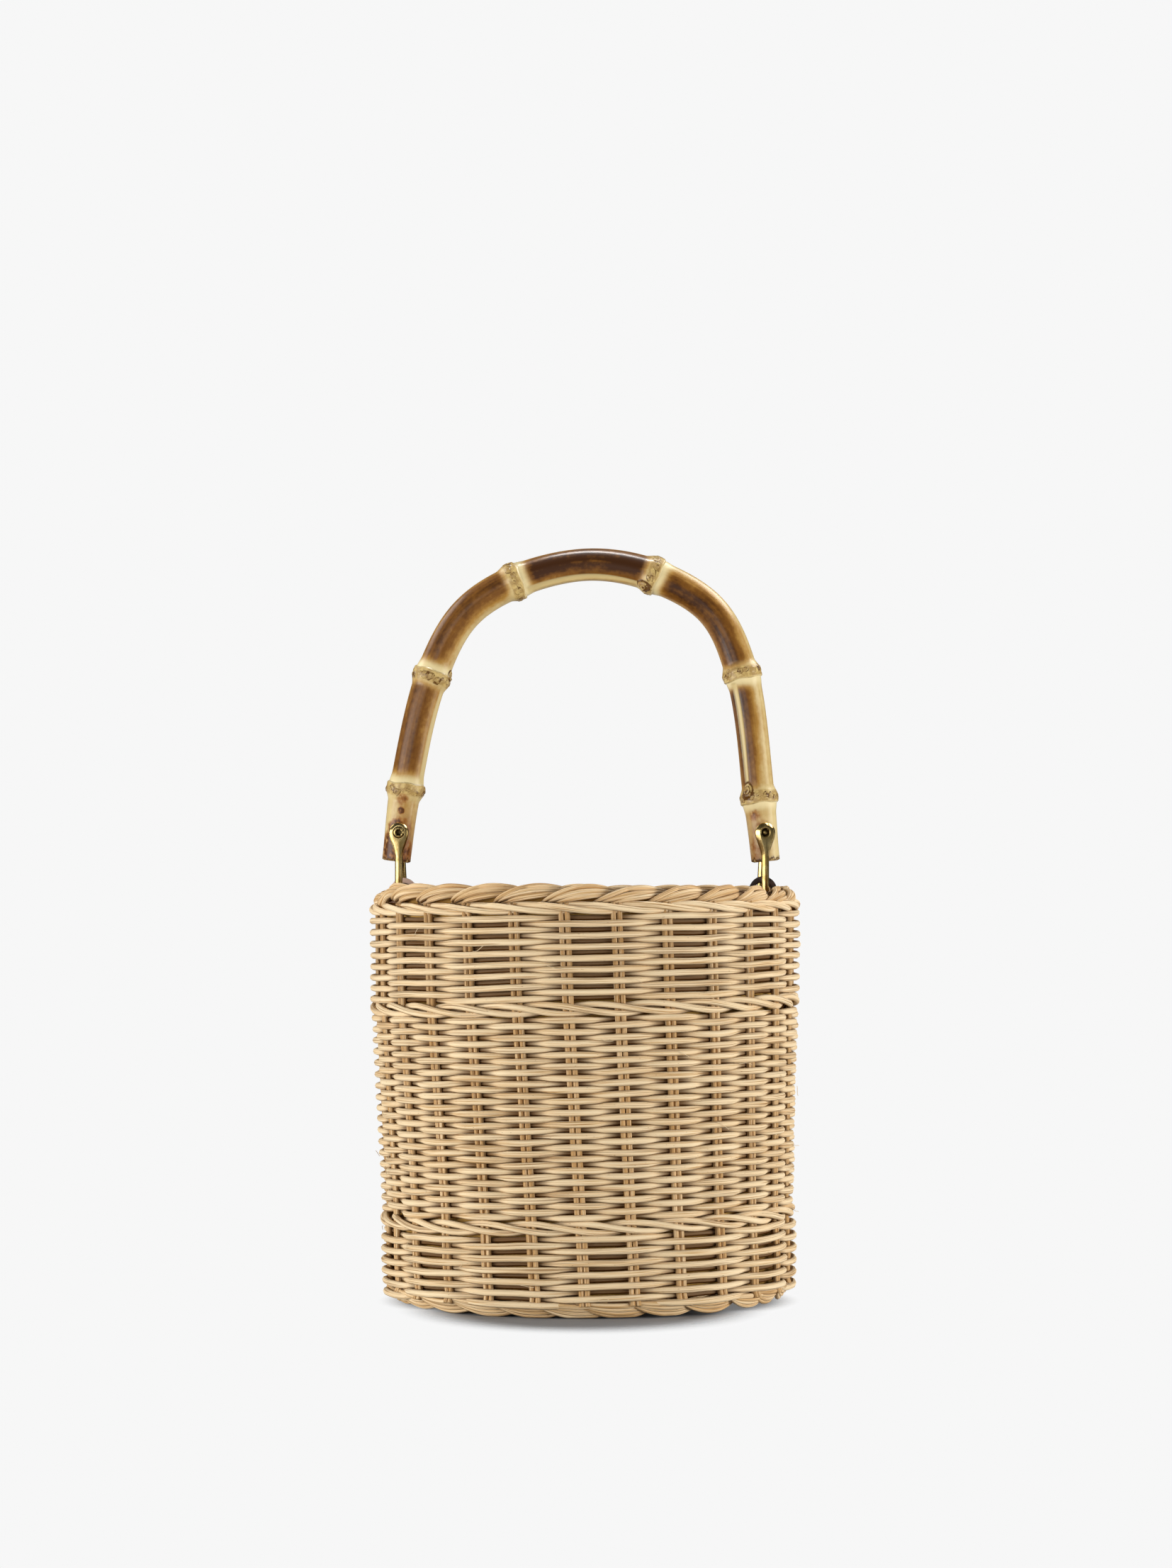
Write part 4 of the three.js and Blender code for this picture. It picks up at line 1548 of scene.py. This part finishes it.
def strap_line(middle):
    """The strap's middle line in distance from the bag's middle and height, round a point."""
    out = middle[0]
    outer, inner = STRAP_TAIL - STRAP_HALF, STRAP_TAIL - 3 * STRAP_HALF
    share = np.linspace(0, 1, 24)[:, None]
    over = arc(middle, STRAP_LOOP, 0, math.pi, 40)
    first, pull, last = np.array([over[-1], (out - STRAP_LOOP, STRAP_PULL), (inner, STRAP_NECK)])
    bend = (1 - share) ** 2 * first + 2 * share * (1 - share) * pull + share ** 2 * last
    start = np.array([[outer, STRAP_END], [outer, STRAP_NECK]])
    return evenly(np.vstack([start, over, bend[1:], [[inner, STRAP_END]]]), 110, closed=False)


def strap_section(points_per_corner=5):
    """The strap's cut section in thickness and width, with rounded corners."""
    section, edge = [], []
    for sx, sy, begin in ((1, 1, 0), (-1, 1, 90), (-1, -1, 180), (1, -1, 270)):
        centre = (sx * (STRAP_HALF - STRAP_CORNER), sy * (STRAP_SIDE - STRAP_CORNER))
        turns = (math.radians(begin), math.radians(begin + 90))
        section.append(arc(centre, STRAP_CORNER, *turns, points_per_corner))
        edge.append(np.abs(np.sin(np.linspace(*turns, points_per_corner))))
    return np.vstack(section), np.concatenate(edge)


def leather_loop(name, side, middle, bare_and_lit):
    line = strap_line(middle)
    way = np.gradient(line, axis=0)
    way /= np.linalg.norm(way, axis=1, keepdims=True)
    out = np.stack([way[:, 1], -way[:, 0]], -1)
    section, edge = strap_section()
    columns = len(section)
    x = line[:, :1] + out[:, :1] * section[:, 0]
    z = line[:, 1:] + out[:, 1:] * section[:, 0]
    y = z * 0 + section[:, 1]
    z = z - side * y * STRAP_LEAN
    points = np.stack([side * x, side * y, z], -1).reshape(-1, 3)
    faces = grid_faces(len(line), columns)
    faces.append(tuple(range(columns)))
    faces.append(tuple(range(len(points) - columns, len(points))))
    piece = new_piece(name, points, faces, leather)
    store(piece, "edge", np.tile(edge * bare_and_lit, len(line)))
    return face_out(piece)


# the left strap's edges get the pale colour with its painted highlight, the right one's none
left_strap = leather_loop("leather_strap_left", -1, (0.0762, 0.1720), 1.0)
seat(left_strap, "basket", "leather", "leather_loop_left")
right_strap = leather_loop("leather_strap_right", 1, (0.0755, 0.1727), 0.0)
seat(right_strap, "basket", "leather", "leather_loop_right")
